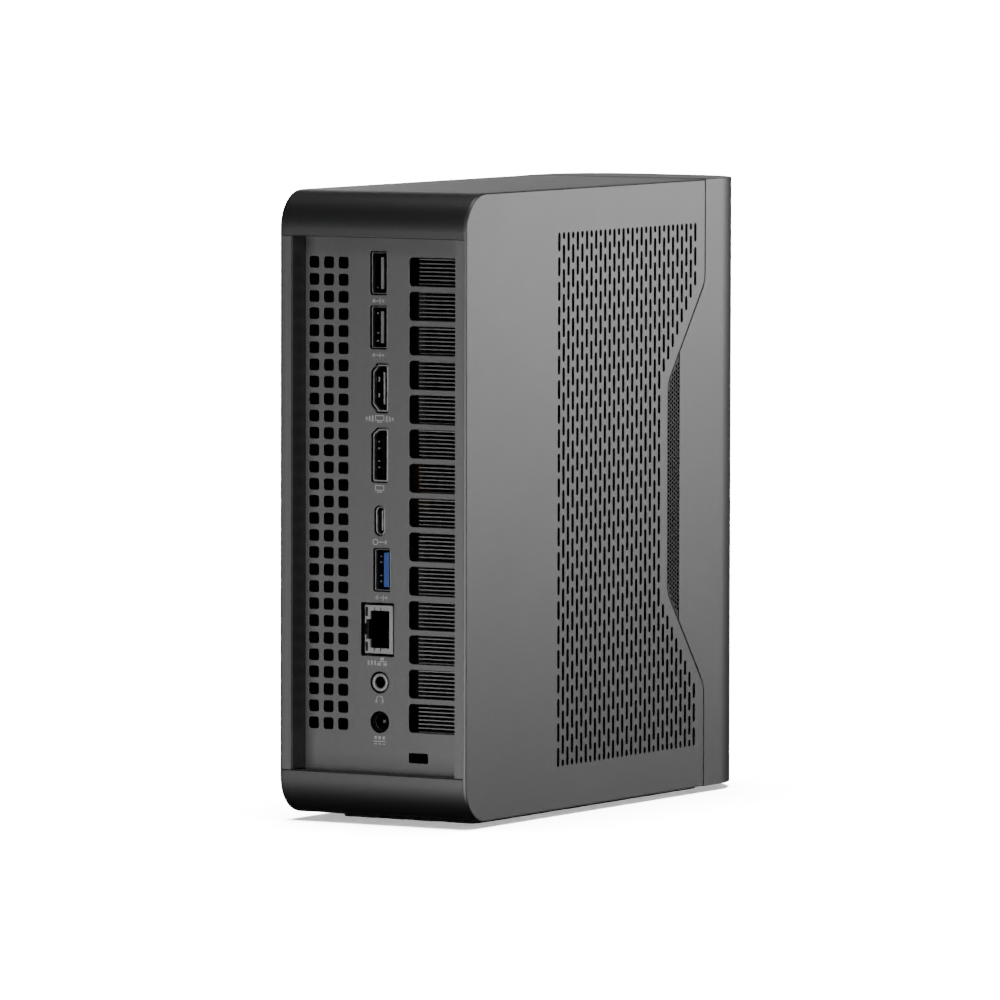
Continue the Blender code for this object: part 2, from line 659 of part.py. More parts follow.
def make_main_board():
    """The upright main board, with a notch for the network jack and holes for its screws."""
    front = BOARD_FRONT_Y
    rear = PLATE_Y - PLATE_WALL - BOARD_CLEARANCE
    low = BOTTOM + BOARD_LOWEST
    high = BOTTOM + BOARD_HIGHEST
    _, jack_height, _, jack_tall, _, _, _ = REAR_SHELLS["network_jack"]
    notch_low = BOTTOM + jack_height - jack_tall / 2 - BOARD_CLEARANCE
    notch_high = BOTTOM + jack_height + jack_tall / 2 + BOARD_CLEARANCE
    outline = [
        (front, low), (rear, low), (rear, notch_low), (BOARD_NOTCH_Y, notch_low),
        (BOARD_NOTCH_Y, notch_high), (rear, notch_high), (rear, high), (front, high),
    ]
    holes = [circle(y, BOTTOM + height, SCREW_HOLE, SCREW_SIDES) for y, height in SCREW_PLACES]
    pierced_plate("main_board", "board_green", "X", outline, holes, BOARD_LOW_X, BOARD_LOW_X + BOARD_WALL)


def make_internal_frame():
    """The open metal frame that the main board is screwed to, which stands between the two covers."""
    middle, length = INNER_FRAME_LENGTH
    tall = BODY_HEIGHT - 2 * COVER_WALL - 2 * GAP
    window_y, window_length, window_tall = INNER_FRAME_WINDOW
    outer = rectangle(middle, MIDDLE, length, tall)
    inner = rectangle(window_y, MIDDLE, window_length, window_tall)
    wall_end = INNER_FRAME_X + INNER_FRAME_WALL
    frame = tube("internal_frame", "frame_steel", "X", outer, inner, INNER_FRAME_X, wall_end)
    post_start = BOARD_LOW_X + BOARD_WALL + GAP
    post_end = INNER_FRAME_X + INNER_FRAME_WALL / 2
    posts = []
    bores = []
    for index, (y, height) in enumerate(SCREW_PLACES, start=1):
        post = circle(y, BOTTOM + height, POST_RADIUS, SCREW_SIDES)
        posts.append(prism(f"post_{index}", "frame_steel", "X", post, post_start, post_end))
        bore = circle(y, BOTTOM + height, SCREW_HOLE, SCREW_SIDES)
        bore_ends = (post_start - BEYOND, wall_end + BEYOND)
        bores.append(prism(f"post_bore_{index}", "frame_steel", "X", bore, *bore_ends))
    combine(frame, "UNION", posts)
    combine(frame, "DIFFERENCE", bores)


def make_board_screws():
    """The four screws that hold the main board to the frame."""
    seat = BOARD_LOW_X - GAP
    crown = seat - SCREW_HEAD_WALL
    tip = INNER_FRAME_X + INNER_FRAME_WALL - GAP
    bevel = SCREW_HEAD_WALL / 3
    profile = [
        (SCREW_HEAD - bevel, crown), (SCREW_HEAD, crown + bevel), (SCREW_HEAD, seat),
        (SCREW_SHANK, seat), (SCREW_SHANK, tip),
    ]
    for index, (y, height) in enumerate(SCREW_PLACES, start=1):
        turned(f"board_screw_{index}", "screw_steel", "X", y, BOTTOM + height, profile)


def make_cooler():
    """The processor, its cold plate and the two heat pipes that run from it to the fins."""
    z = BOTTOM + COOLER_MIDDLE
    face = BOARD_LOW_X
    for name, colour, (size, wall) in (
        ("processor", "chip_black", PROCESSOR),
        ("cold_plate", "copper", COLD_PLATE),
    ):
        high = face - GAP
        face = high - wall
        prism(name, colour, "X", rectangle(COOLER_Y, z, size, size), face, high)
    near = face - GAP - PIPE_RADIUS
    far = FIN_HIGH_X + GAP + PIPE_RADIUS
    for name, side in (("heat_pipe_upper", 1), ("heat_pipe_lower", -1)):
        level = z + side * PIPE_SEPARATION
        corners = [((x, y, level), radius) for x, (y, radius) in zip((near, near, far, far), PIPE_BENDS)]
        last_y = PIPE_BENDS[-1][0]
        corners.append(((far, last_y, level + side * PIPE_RISE), 0))
        pipe(name, "copper", rounded(corners, OVAL_STEPS, closed=False), PIPE_RADIUS)


def make_fins():
    """The stack of fins behind the rear windows, joined by a thin web."""
    spine = FIN_LOW_X + FIN_SPINE
    outline = []
    for fin in range(FIN_COUNT):
        low = BOTTOM + FIN_LOWEST + fin * FIN_PITCH
        high = low + FIN_WALL
        outline += [(spine, low), (FIN_HIGH_X, low), (FIN_HIGH_X, high), (spine, high)]
    outline = outline[1:-1]
    outline += [(FIN_LOW_X, outline[-1][1]), (FIN_LOW_X, outline[0][1])]
    prism("fin_stack", "fin_aluminium", "Y", outline, FIN_FRONT_Y, FIN_REAR_Y)


def make_blower_housing(name, z):
    """A blower's housing, open towards the fins and round its inlet."""
    middle = BLOWER_Y + BLOWER_SHIFT
    body = rectangle(middle, z, BLOWER_LENGTH, BLOWER_HEIGHT, BLOWER_CORNER, OVAL_STEPS)
    housing = prism(f"blower_housing_{name}", "blower_black", "X", body, BLOWER_LOW_X, BLOWER_HIGH_X)
    inner_length = BLOWER_LENGTH + 2 * BEYOND
    inner_middle = middle + BLOWER_WALL + BEYOND
    inner_height = BLOWER_HEIGHT - 2 * BLOWER_WALL
    room = rectangle(inner_middle, z, inner_length, inner_height, BLOWER_CORNER - BLOWER_WALL, OVAL_STEPS)
    ends = (BLOWER_LOW_X + BLOWER_WALL, BLOWER_HIGH_X - BLOWER_WALL)
    hollow = prism(f"blower_room_{name}", "blower_black", "X", room, *ends)
    round_hole = circle(BLOWER_Y, z, BLOWER_INLET)
    ends = (BLOWER_LOW_X - BEYOND, (BLOWER_LOW_X + BLOWER_HIGH_X) / 2)
    inlet = prism(f"blower_inlet_{name}", "blower_black", "X", round_hole, *ends)
    combine(housing, "DIFFERENCE", [hollow, inlet])


def make_blower_rotor(name, z):
    """A blower's rotor, whose origin lies on its axis."""
    blade = (
        (ROTOR_HUB, 0.0),
        (ROTOR_RADIUS, ROTOR_SWEEP),
        (ROTOR_RADIUS, ROTOR_SWEEP + ROTOR_TIP),
        (ROTOR_HUB, ROTOR_ROOT),
    )
    outline = []
    for index in range(ROTOR_BLADES):
        turn = 2 * math.pi * index / ROTOR_BLADES
        outline += [(r * math.cos(turn + angle), r * math.sin(turn + angle)) for r, angle in blade]
    low = BLOWER_LOW_X + ROTOR_ENDS[0]
    high = BLOWER_HIGH_X - ROTOR_ENDS[1]
    middle = (low + high) / 2
    rotor = prism(f"blower_rotor_{name}", "blower_black", "X", outline, low - middle, high - middle)
    rotor.location = place("X", BLOWER_Y, z, middle)


def make_blowers():
    """The two blowers."""
    for name, height in BLOWER_HEIGHTS.items():
        make_blower_housing(name, BOTTOM + height)
        make_blower_rotor(name, BOTTOM + height)


def make_modules():
    """Memory, storage, wireless and clock battery on the far face of the main board."""
    face = BOARD_LOW_X + BOARD_WALL + GAP
    low = face + CARD_LIFT
    for name, (edge, length, height, tall, thick) in CARDS.items():
        z = BOTTOM + height
        socket = rectangle(edge + SOCKET_DEPTH / 2, z, SOCKET_DEPTH, tall + 2 * SOCKET_MARGIN)
        prism(name.replace("module", "socket"), "chip_black", "X", socket, face, low + thick)
        card = rectangle(edge - GAP - length / 2, z, length, tall)
        prism(name, "board_green", "X", card, low, low + thick)
    y, height = BATTERY_PLACE
    battery = [(radius, face + lift) for radius, lift in BATTERY_PROFILE]
    turned("clock_battery", "screw_steel", "X", y, BOTTOM + height, battery)


def make_power_button():
    """The power button, whose origin lies on its axis at its face, and the switch behind it."""
    front = FRONT_SET_BACK - HALF_DEPTH
    seat = COVER_WALL + GAP - FRONT_SET_BACK
    back = seat + BUTTON_FLANGE_WALL
    profile = [
        (BUTTON_RADIUS - BUTTON_BEVEL, 0.0), (BUTTON_RADIUS, BUTTON_BEVEL), (BUTTON_RADIUS, seat),
        (BUTTON_FLANGE, seat), (BUTTON_FLANGE, back),
    ]
    button = turned("power_button", "button_paint", "Y", 0.0, 0.0, profile)
    z = BOTTOM + BUTTON_HEIGHT
    button.location = place("Y", 0.0, z, front)
    wide, tall, deep = SWITCH_SIZE
    tip = front + back + BUTTON_TRAVEL + GAP
    body = tip + PLUNGER_LENGTH
    switch = prism("power_switch", "chip_black", "Y", rectangle(0, z, wide, tall), body, body + deep)
    plunger = prism("switch_plunger", "chip_black", "Y", circle(0, z, PLUNGER_RADIUS), tip, body + deep / 2)
    combine(switch, "UNION", [plunger])


def make_front_pieces():
    """The light, the front sockets and their board."""
    front = FRONT_SET_BACK - HALF_DEPTH
    light = [(LIGHT_RADIUS, front), (LIGHT_RADIUS, COVER_WALL + LIGHT_REACH - HALF_DEPTH)]
    turned("power_light", "light_lens", "Y", 0.0, BOTTOM + LIGHT_HEIGHT, light)
    back = front + FRONT_PORT_DEPTH
    floor = back - SHELL_BACK
    for name, (height, wide, tall, corner, *tongue) in FRONT_PORTS.items():
        z = BOTTOM + height
        outer = shell_outline(0.0, z, wide, tall, corner, 0.0)
        inner = shell_outline(0.0, z, wide, tall, corner, -SHELL_WALL)
        cup(name, "port_steel", outer, inner, back, floor, front)
        tongue_x, tongue_wide, tongue_tall, colour = tongue
        outline = rectangle(tongue_x, z, tongue_wide, tongue_tall)
        prism(name + "_tongue", colour, "Y", outline, front + FRONT_TONGUE_SHORT, floor - GAP)
    y, height, length, tall = FRONT_BOARD
    board = rectangle(y, BOTTOM + height, length, tall)
    prism("front_board", "board_green", "X", board, FRONT_BOARD_X, FRONT_BOARD_X + FRONT_BOARD_WALL)


def main():
    clear_scene()
    make_covers()
    make_side_panels()
    make_side_meshes()
    make_front_cover()
    make_base()
    make_rear_frame()
    make_port_plate()
    make_rear_ports()
    make_network_jack()
    make_round_ports()
    make_main_board()
    make_internal_frame()
    make_board_screws()
    make_cooler()
    make_fins()
    make_blowers()
    make_modules()
    make_power_button()
    make_front_pieces()


main()
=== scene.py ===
"""Looks of the small tower computer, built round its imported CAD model.

Sizes and places are in millimetres in the CAD model's frame, and Shape.build() turns them into metres. +Y is
the rear with the ports, -Y the front, +Z up.
"""

import math

import bmesh
import bpy
from mathutils import Matrix, Vector
from mathutils.geometry import tessellate_polygon


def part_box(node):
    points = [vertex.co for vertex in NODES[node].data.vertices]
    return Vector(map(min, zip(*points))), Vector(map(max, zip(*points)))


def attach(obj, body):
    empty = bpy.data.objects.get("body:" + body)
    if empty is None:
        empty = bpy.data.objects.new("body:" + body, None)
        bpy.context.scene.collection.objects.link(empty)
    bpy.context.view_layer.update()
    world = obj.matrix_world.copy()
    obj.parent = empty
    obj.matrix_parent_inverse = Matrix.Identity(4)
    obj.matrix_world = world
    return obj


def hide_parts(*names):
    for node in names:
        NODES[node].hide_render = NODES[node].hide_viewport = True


MM = 0.001

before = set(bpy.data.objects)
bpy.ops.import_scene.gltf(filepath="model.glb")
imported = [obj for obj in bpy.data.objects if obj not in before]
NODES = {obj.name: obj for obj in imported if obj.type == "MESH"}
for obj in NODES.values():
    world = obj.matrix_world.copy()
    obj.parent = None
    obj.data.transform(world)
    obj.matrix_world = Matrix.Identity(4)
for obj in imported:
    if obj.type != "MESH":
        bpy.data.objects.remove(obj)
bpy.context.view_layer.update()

# Which world coordinates an outline's two numbers and its level follow, by the direction of the levels
AXES = {"X": (1, 2, 0), "Y": (0, 2, 1), "Z": (0, 1, 2)}


# ---- measures

def cad(node):
    """Lowest and highest corner of a CAD node, in millimetres."""
    low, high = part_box(node)
    return Vector(low) / MM, Vector(high) / MM


def measured(node):
    """A CAD node's lowest and highest corner, its middle and its size."""
    low, high = cad(node)
    return low, high, (low + high) / 2, high - low


def round_node(node):
    """A round CAD node's centre, its radius, and its lowest and highest level along Y."""
    low, high = cad(node)
    return (low.x + high.x) / 2, (low.z + high.z) / 2, (high.x - low.x) / 2, low.y, high.y


PANEL_LOW, PANEL_HIGH = cad("left_side_panel")
BOTTOM = PANEL_LOW.z
TOP = PANEL_HIGH.z
MIDDLE = (BOTTOM + TOP) / 2
REAR = PANEL_HIGH.y
FRONT = cad("front_cover")[0].y
HALF_WIDTH = -PANEL_LOW.x
PANEL_WALL = PANEL_HIGH.x - PANEL_LOW.x

# The seam between a side panel and the front cover, seen from the side
SEAM_REAR = PANEL_LOW.y  # the panel's front edge above and below the slope
SEAM_GAP = 0.32
SEAM_HALF = 65.9
SEAM_FILLET = 8.0
NOTCH_HALF = 33.9
NOTCH_Y = cad("left_side_mesh")[1].y + 0.3
WING_Y = cad("front_cover")[1].y
REAR_CORNER = 12.0
FRONT_CORNER = 24.0
PANEL_RIM = ((0.0, 0.36), (0.25, 0.17), (1.0, 0.0))  # depth and inset of its outer edge's two chamfers
COVER_WALL = 1.8
COVER_GROWTH = 0.35  # how far the covers reach towards the panels beyond their CAD nodes
COVER_HOLD = 0.03  # a point this far beyond an arc keeps the flat beside it from shading round
LIP_WALL = 0.8  # the black lip behind the seam, painted shade seen through the gap
LIP_GAP = 0.1
LIP_REACH = (-1.8, 1.4)  # its ends from the seam
FAR = 150  # beyond every face of the case
CUT_REACH = 80  # beyond its sides

# Slots of a side panel
SLOT_COLUMNS = 31
SLOT_ROWS = 24
SLOT_PITCH_Y = 2.92
SLOT_LAST_Y = 35.88
SLOT_PITCH_Z = 7.8
SLOT_WIDTH = 1.55
SLOT_HEIGHT = 6.2
SLOT_FIELD = (13.7, 183.7)  # lowest and highest slot end above the case's bottom
SLOT_TOP_CENTRE = 180.57
SLOT_SHORTEST = 1.9
SLOT_SLOPE_Y = -28.4  # columns in front of this stop short of the seam's slope
SLOT_SLOPE = (-31.0, 37.1, 1.32)  # a place, half the height kept clear there, and its growth forwards
# A thin black sheet inside each side panel: painted shade seen through the slots
SHADE_SHEET_WALL = 0.15
SHADE_SHEET_INSET = 1.5
SHADE_SHEET_MARGIN = 8.0
SHADE_SHEET_REAR = 3.0

# Side meshes and their six-sided holes
MESH_PITCH = 1.39
MESH_HOLE = 0.55
MESH_WALL = 0.35
MESH_SEAM_GAP = 0.3
MESH_MARGIN = 0.1
MESH_CORNER = 2.2  # no hole this close to the rear edge's rounded ends
MESH_SHADE_SHEET = (0.55, 0.75)  # the depths of the black sheet behind the mesh's face, painted shade seen through its holes

# Port plate
VENT_PITCH = 5.405
VENT_HOLE = 3.66
VENT_CORNER = 0.75
VENT_COLUMNS = 3
VENT_ROWS = 28
VENT_FIRST_X = 16.25
VENT_LOWEST = 28.75
WINDOW_COUNT = 14
WINDOW_X = (-28.15, -8.0)
WINDOW_LOWEST = 31.7
WINDOW_PITCH = 10.825
WINDOW_HEIGHT = 9.05
WINDOW_CORNER = 1.2
LOCK_SLOT = (-11.5, 19.1, 7.0, 3.1)  # x and height of its centre, width and height
PLATE_HOLE_RIM = 0.12
PRINT_DEPTH = 0.03
PRINT_LINE = 0.32

# Front
KEY_RADIUS = 6.0
KEY_GAP = 0.3
FRONT_PORT_GAP = 0.4
FRONT_BEVEL = 0.15

# Walls round the recess
RECESS_HALF_WIDTH = 30.1
RECESS_WALL = 1.2

# Sockets
SOCKET_WALL = 0.35
SOCKET_ROLL = 0.12  # radius of a shell's rolled edge
SOCKET_SHADE_DEPTH = 1.6  # depth where the bare metal ends and the painted shade deeper in begins
SOCKET_FLOOR = 0.5
TONGUE_CAP = 0.25
CONTACT_DEPTH = 0.6
CONTACT_LENGTH = 6.0
CONTACT_WALL = 0.12
SPRING_DEPTH = 1.3
SPRING_WALL = 0.14
SPRING_PATH = ((0.5, 0.6), (0.85, 0.25), (1.1, 0.4), (1.15, 0.9), (0.8, 1.7))  # lift from the wall and depth


# ---- outlines

def arc_steps(radius):
    """Straight pieces in a rounded corner of that radius."""
    if radius < 1:
        return 3
    return 6 if radius < 5 else 20


def rounded(corners, steps=None, hold=0.0):
    """A closed line through corners of (point, radius), with an arc at each radius above 0.

    With a hold, there is one more point that far from each end of an arc.
    """
    line = []
    count = len(corners)
    for index, (corner, radius) in enumerate(corners):
        corner = Vector(corner)
        if radius == 0:
            line.append(corner)
            continue
        back = (Vector(corners[index - 1][0]) - corner).normalized()
        ahead = (Vector(corners[(index + 1) % count][0]) - corner).normalized()
        half = back.angle(ahead) / 2
        centre = corner + (back + ahead).normalized() * (radius / math.sin(half))
        first = corner + back * (radius / math.tan(half)) - centre
        last = corner + ahead * (radius / math.tan(half)) - centre
        sweep = math.pi - 2 * half
        pieces = steps or arc_steps(radius)
        if hold:
            line.append(centre + first + back * hold)
        for step in range(pieces + 1):
            t = step / pieces
            share = (math.sin((1 - t) * sweep) * first + math.sin(t * sweep) * last) / math.sin(sweep)
            line.append(centre + share)
        if hold:
            line.append(centre + last + ahead * hold)
    return line


def rectangle(a, b, width, height, radius=0.0, steps=None):
    """A rectangle's outline round its centre a, b."""
    signs = ((-1, -1), (1, -1), (1, 1), (-1, 1))
    return rounded([((a + s * width / 2, b + t * height / 2), radius) for s, t in signs], steps)


def circle(a, b, radius, sides=32):
    """A circle's outline round its centre a, b."""
    turns = (2 * math.pi * index / sides for index in range(sides))
    return [Vector((a + radius * math.cos(turn), b + radius * math.sin(turn))) for turn in turns]


def slot_outline(a, low, high, width):
    """An upright slot with round ends between two heights."""
    radius = width / 2
    line = []
    for centre, start in ((high - radius, 0.0), (low + radius, math.pi)):
        for step in range(5):
            turn = start + math.pi * step / 4
            line.append(Vector((a + radius * math.cos(turn), centre + radius * math.sin(turn))))
    return line


def signed_area(line):
    """Twice the area inside an outline, above 0 when it runs anticlockwise."""
    return sum(p.x * q.y - q.x * p.y for p, q in zip(line, line[1:] + line[:1]))


def between_levels(line, low, high, index=0):
    """The part of a convex outline whose first or second number is between two values."""
    for limit, side in ((low, 1), (high, -1)):
        kept = []
        for one, other in zip(line, line[1:] + line[:1]):
            here, there = (side * (point[index] - limit) for point in (one, other))
            if here >= 0:
                kept.append(one)
            if here * there < 0:
                kept.append(one.lerp(other, here / (here - there)))
        line = kept
    return line


def grown(line, distance):
    """The outline moved outwards by that distance."""
    if distance == 0:
        return [Vector(point) for point in line]
    turn = 1 if signed_area(line) > 0 else -1
    moved = []
    count = len(line)
    for index, point in enumerate(line):
        before = (point - line[index - 1]).normalized()
        after = (line[(index + 1) % count] - point).normalized()
        normal_before = Vector((before.y, -before.x)) * turn
        normal_after = Vector((after.y, -after.x)) * turn
        middle = (normal_before + normal_after).normalized()
        moved.append(point + middle * (distance / max(0.3, middle.dot(normal_after))))
    return moved


# ---- meshes

RIM_STEPS = 3
SHARP_ANGLE = 32  # in degrees
SOFTEN_ANGLE = 40


class Shape:
    """Closed solids made of rings of points along one axis."""

    def __init__(self, axis):
        self.axis = AXES[axis]
        self.points = []
        self.faces = []
        self.slots = []
        self.smooth = []
        self.creases = set()

    def ring(self, outline, level):
        """Adds an outline's points at a level, and gives their numbers."""
        first = len(self.points)
        for a, b in outline:
            point = [0.0, 0.0, 0.0]
            for index, value in zip(self.axis, (a, b, level)):
                point[index] = value * MM
            self.points.append(point)
        return list(range(first, len(self.points)))

    def face(self, numbers, slot=0, smooth=False):
        self.faces.append(numbers)
        self.slots.append(slot)
        self.smooth.append(smooth)

    def bridge(self, one, other, slot=0, smooth=True):
        """Quads between two rings with the same number of points."""
        count = len(one)
        for i in range(count):
            j = (i + 1) % count
            self.face([one[i], one[j], other[j], other[i]], slot, smooth)

    def fill(self, outer, holes=(), slot=0):
        """Flat triangles inside the outer ring and outside the holes' rings."""
        rings = [outer, *holes]
        across, along = self.axis[:2]
        flat = []
        for ring in rings:
            points = (self.points[number] for number in ring)
            flat.append([Vector((point[across] / MM, point[along] / MM, 0)) for point in points])
        numbers = [number for ring in rings for number in ring]
        for triangle in tessellate_polygon(flat):
            self.face([numbers[index] for index in triangle], slot)

    def rim(self, outline, level, inward, reach, inset):
        """Rings of a rounded edge: from the flat face at the level to the wall below it.

        inset is above 0 where the flat face is smaller than the wall's outline and below 0 round a hole.
        """
        rings = []
        for step in range(RIM_STEPS + 1):
            turn = math.pi / 2 * step / RIM_STEPS
            line = grown(outline, -inset * (1 - math.sin(turn)))
            rings.append(self.ring(line, level + inward * reach * (1 - math.cos(turn))))
        return rings

    def slab(self, outline, low, high, rims=(0.0, 0.0), holes=(), hole_rim=0.0, slots=(0, 0)):
        """A plate between two levels with rounded edges; slots are the finishes of its outside and its holes.

        A rim is a radius, or a chamfer's corners from the flat face to the wall: (depth, inset) of each.
        """
        ends = []
        for level, inward, rim in ((low, 1, rims[0]), (high, -1, rims[1])):
            ends.append(self.lined(outline, level, inward, rim, rim, slots[0]))
        self.bridge(ends[0][1], ends[1][1], slots[0])
        hole_faces = ([], [])
        for hole in holes:
            walls = []
            for index, (level, inward) in enumerate(((low, 1), (high, -1))):
                flat, wall = self.lined(hole, level, inward, hole_rim, -hole_rim, slots[0])
                hole_faces[index].append(flat)
                walls.append(wall)
            self.bridge(walls[0], walls[1], slots[1])
        self.fill(ends[0][0], hole_faces[0], slots[0])
        self.fill(ends[1][0], hole_faces[1], slots[0])

    def lined(self, outline, level, inward, reach, inset, slot):
        """A rounded edge's faces; gives the ring of its flat face and the ring of its wall."""
        if reach == 0:
            ring = self.ring(outline, level)
            return ring, ring
        if isinstance(reach, tuple):
            rings = [self.ring(grown(outline, -across), level + inward * depth) for depth, across in reach]
            self.crease(rings[1])
        else:
            rings = self.rim(outline, level, inward, reach, inset)
        for one, other in zip(rings, rings[1:]):
            self.bridge(one, other, slot)
        self.crease(rings[0])
        self.crease(rings[-1])
        return rings[0], rings[-1]

    def crease(self, ring):
        """Keeps the faces on the two sides of a ring from being smoothed together."""
        for one, other in zip(ring, ring[1:] + ring[:1]):
            self.creases.add((min(one, other), max(one, other)))

    def lathe(self, a, b, profile, sides=32):
        """A round solid from a profile of (radius, level, finish), closed at both ends."""
        rings = [self.ring(circle(a, b, radius, sides), level) for radius, level, _ in profile]
        for index in range(len(rings) - 1):
            self.bridge(rings[index], rings[index + 1], profile[index + 1][2])
        self.face(rings[0], profile[0][2])
        self.face(rings[-1], profile[-1][2])

    def build(self, name, *materials):
        """Makes the object, with outward faces, and sharp edges at its creases and corners."""
        mesh = bpy.data.meshes.new(name)
        mesh.from_pydata(self.points, [], self.faces)
        for material in materials:
            mesh.materials.append(material)
        mesh.polygons.foreach_set("material_index", self.slots)
        mesh.polygons.foreach_set("use_smooth", self.smooth)
        shape = bmesh.new()
        shape.from_mesh(mesh)
        bmesh.ops.recalc_face_normals(shape, faces=shape.faces)
        for edge in shape.edges:
            ends = tuple(sorted(vert.index for vert in edge.verts))
            bent = len(edge.link_faces) == 2 and edge.calc_face_angle() > math.radians(SHARP_ANGLE)
            edge.smooth = not (bent or ends in self.creases)
        shape.to_mesh(mesh)
        shape.free()
        return add(name, mesh)


def add(name, data):
    """An object in the scene for a mesh, light or camera."""
    new = bpy.data.objects.new(name, data)
    bpy.context.collection.objects.link(new)
    return new


def fix(piece, slot_name, *nodes, body="case"):
    """Sets what a piece rides on and hides the CAD nodes it replaces; slot_name is not used."""
    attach(piece, body)
    if nodes:
        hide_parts(*nodes)


def fix_slab(axis, name, finishes, slot_name, nodes, *outline_and_levels, **details):
    """A piece made of one slab."""
    shape = Shape(axis)
    shape.slab(*outline_and_levels, **details)
    fix(shape.build(name, *finishes), slot_name, *nodes)


def cut(target, tools):
    """Cuts the tools from the target, and removes them."""
    for tool in tools:
        modifier = target.modifiers.new("cut", "BOOLEAN")
        modifier.operation = "DIFFERENCE"
        modifier.solver = "EXACT"
        modifier.object = tool
    settle(target)
    for tool in tools:
        bpy.data.objects.remove(tool, do_unlink=True)


def settle(piece):
    """Replaces a piece's mesh by the one that its modifiers give, and drops them."""
    graph = bpy.context.evaluated_depsgraph_get()
    mesh = bpy.data.meshes.new_from_object(piece.evaluated_get(graph))
    piece.modifiers.clear()
    piece.data = mesh


def soften(piece, width):
    """Rounds a piece's sharp edges, and keeps its flat faces flat."""
    bevel = piece.modifiers.new("bevel", "BEVEL")
    bevel.width = width * MM
    bevel.segments = 3
    bevel.limit_method = "ANGLE"
    bevel.angle_limit = math.radians(SOFTEN_ANGLE)
    bevel.miter_outer = "MITER_ARC"
    weights = piece.modifiers.new("normals", "WEIGHTED_NORMAL")
    weights.keep_sharp = True
    weights.weight = 90
    settle(piece)
    piece.data.shade_smooth()


# ---- finishes

def node_material(name):
    """A new material, its node tree and its Principled shader."""
    material = bpy.data.materials.new(name)
    material.use_nodes = True
    tree = material.node_tree
    shader = tree.nodes["Principled BSDF"]
    return material, tree, shader


NOISE_LOW = 0.3  # the greys of a noise that stand for its two ends
NOISE_HIGH = 0.7
ROUGHNESS_SPREAD = 0.04


def noise(tree, scale, detail, stretch):
    """The grey of a noise texture in the object's own space, with that many features in a metre."""
    space = tree.nodes.new("ShaderNodeTexCoord")
    mapping = tree.nodes.new("ShaderNodeMapping")
    mapping.inputs["Scale"].default_value = stretch
    tree.links.new(space.outputs["Object"], mapping.inputs["Vector"])
    texture = tree.nodes.new("ShaderNodeTexNoise")
    texture.inputs["Scale"].default_value = scale
    texture.inputs["Detail"].default_value = detail
    tree.links.new(mapping.outputs["Vector"], texture.inputs["Vector"])
    return texture.outputs["Fac"]


def between(tree, source, low, high):
    """A number that follows the source from low to high."""
    spread = tree.nodes.new("ShaderNodeMapRange")
    spread.inputs["From Min"].default_value = NOISE_LOW
    spread.inputs["From Max"].default_value = NOISE_HIGH
    spread.inputs["To Min"].default_value = low
    spread.inputs["To Max"].default_value = high
    tree.links.new(source, spread.inputs["Value"])
    return spread.outputs["Result"]


def colours(tree, source, dark, light):
    """A colour that follows the source from dark to light."""
    ramp = tree.nodes.new("ShaderNodeValToRGB")
    for element, place, colour in zip(ramp.color_ramp.elements, (NOISE_LOW, NOISE_HIGH), (dark, light)):
        element.position = place
        element.color = (*tint(colour), 1)
    tree.links.new(source, ramp.inputs["Fac"])
    return ramp.outputs["Color"]


def bump(tree, shader, source, depth):
    """A bump of that depth in millimetres."""
    node = tree.nodes.new("ShaderNodeBump")
    node.inputs["Strength"].default_value = 1.0
    node.inputs["Distance"].default_value = depth * MM
    tree.links.new(source, node.inputs["Height"])
    tree.links.new(node.outputs["Normal"], shader.inputs["Normal"])


def tint(colour):
    """A colour as it is, or a number as a very slightly cool grey."""
    return (colour, colour, colour * 1.01) if isinstance(colour, float) else colour


def surface(name, dark, light, rough, metallic=0.0, patch=300.0, grain=3000.0, depth=0.003,
            stretch=(1, 1, 1), coat=0.0, specular=0.5):
    """A finish whose colour drifts in patches, and whose gloss and bump follow a fine grain."""
    material, tree, shader = node_material(name)
    patches = noise(tree, patch, 4.0, stretch)
    grains = noise(tree, grain, 2.0, stretch)
    gloss = between(tree, grains, rough - ROUGHNESS_SPREAD, rough + ROUGHNESS_SPREAD)
    tree.links.new(colours(tree, patches, dark, light), shader.inputs["Base Color"])
    tree.links.new(gloss, shader.inputs["Roughness"])
    bump(tree, shader, grains, depth)
    shader.inputs["Metallic"].default_value = metallic
    shader.inputs["Specular IOR Level"].default_value = specular
    shader.inputs["Coat Weight"].default_value = coat
    return material


CASE = surface("case_satin", 0.245, 0.255, 0.44, 1.0, 25.0, 3500.0, 0.002)
PLATE = surface("plate_satin", 0.315, 0.325, 0.44, 0.6, 30.0, 3500.0, 0.002)
MESH = surface("mesh_dark_steel", 0.08, 0.10, 0.45, 0.6, 200.0, 5000.0, 0.003)
# Near black: real black mouldings, and painted shade on slot, hole and socket walls and on the sheets behind
# slots, mesh and seam.
SHADE_AND_BLACK_PLASTIC = surface("painted_shade_and_black_plastic", 0.003, 0.005, 0.75, 0.0, 100.0, 3000.0, 0.005, specular=0.1)
RUBBER = surface("pad_rubber", 0.006, 0.010, 0.85, 0.0, 150.0, 2200.0, 0.03, specular=0.2)
SHELL = surface("shell_tin", 0.70, 0.80, 0.36, 1.0, stretch=(1, 0.2, 1))
JACK = surface("jack_tin", 0.62, 0.70, 0.45, 0.7, 200.0)
BLACK = surface("moulded_black", 0.010, 0.016, 0.42, 0.0, 120.0, 2500.0, 0.01)
GLOSS = surface("gloss_black", 0.008, 0.012, 0.16, 0.0, 120.0, 2500.0, 0.002)
TIN_DARK = surface("shell_dark", 0.44, 0.52, 0.40, 1.0)
SPRING = surface("spring_steel", 0.34, 0.42, 0.34, 1.0)
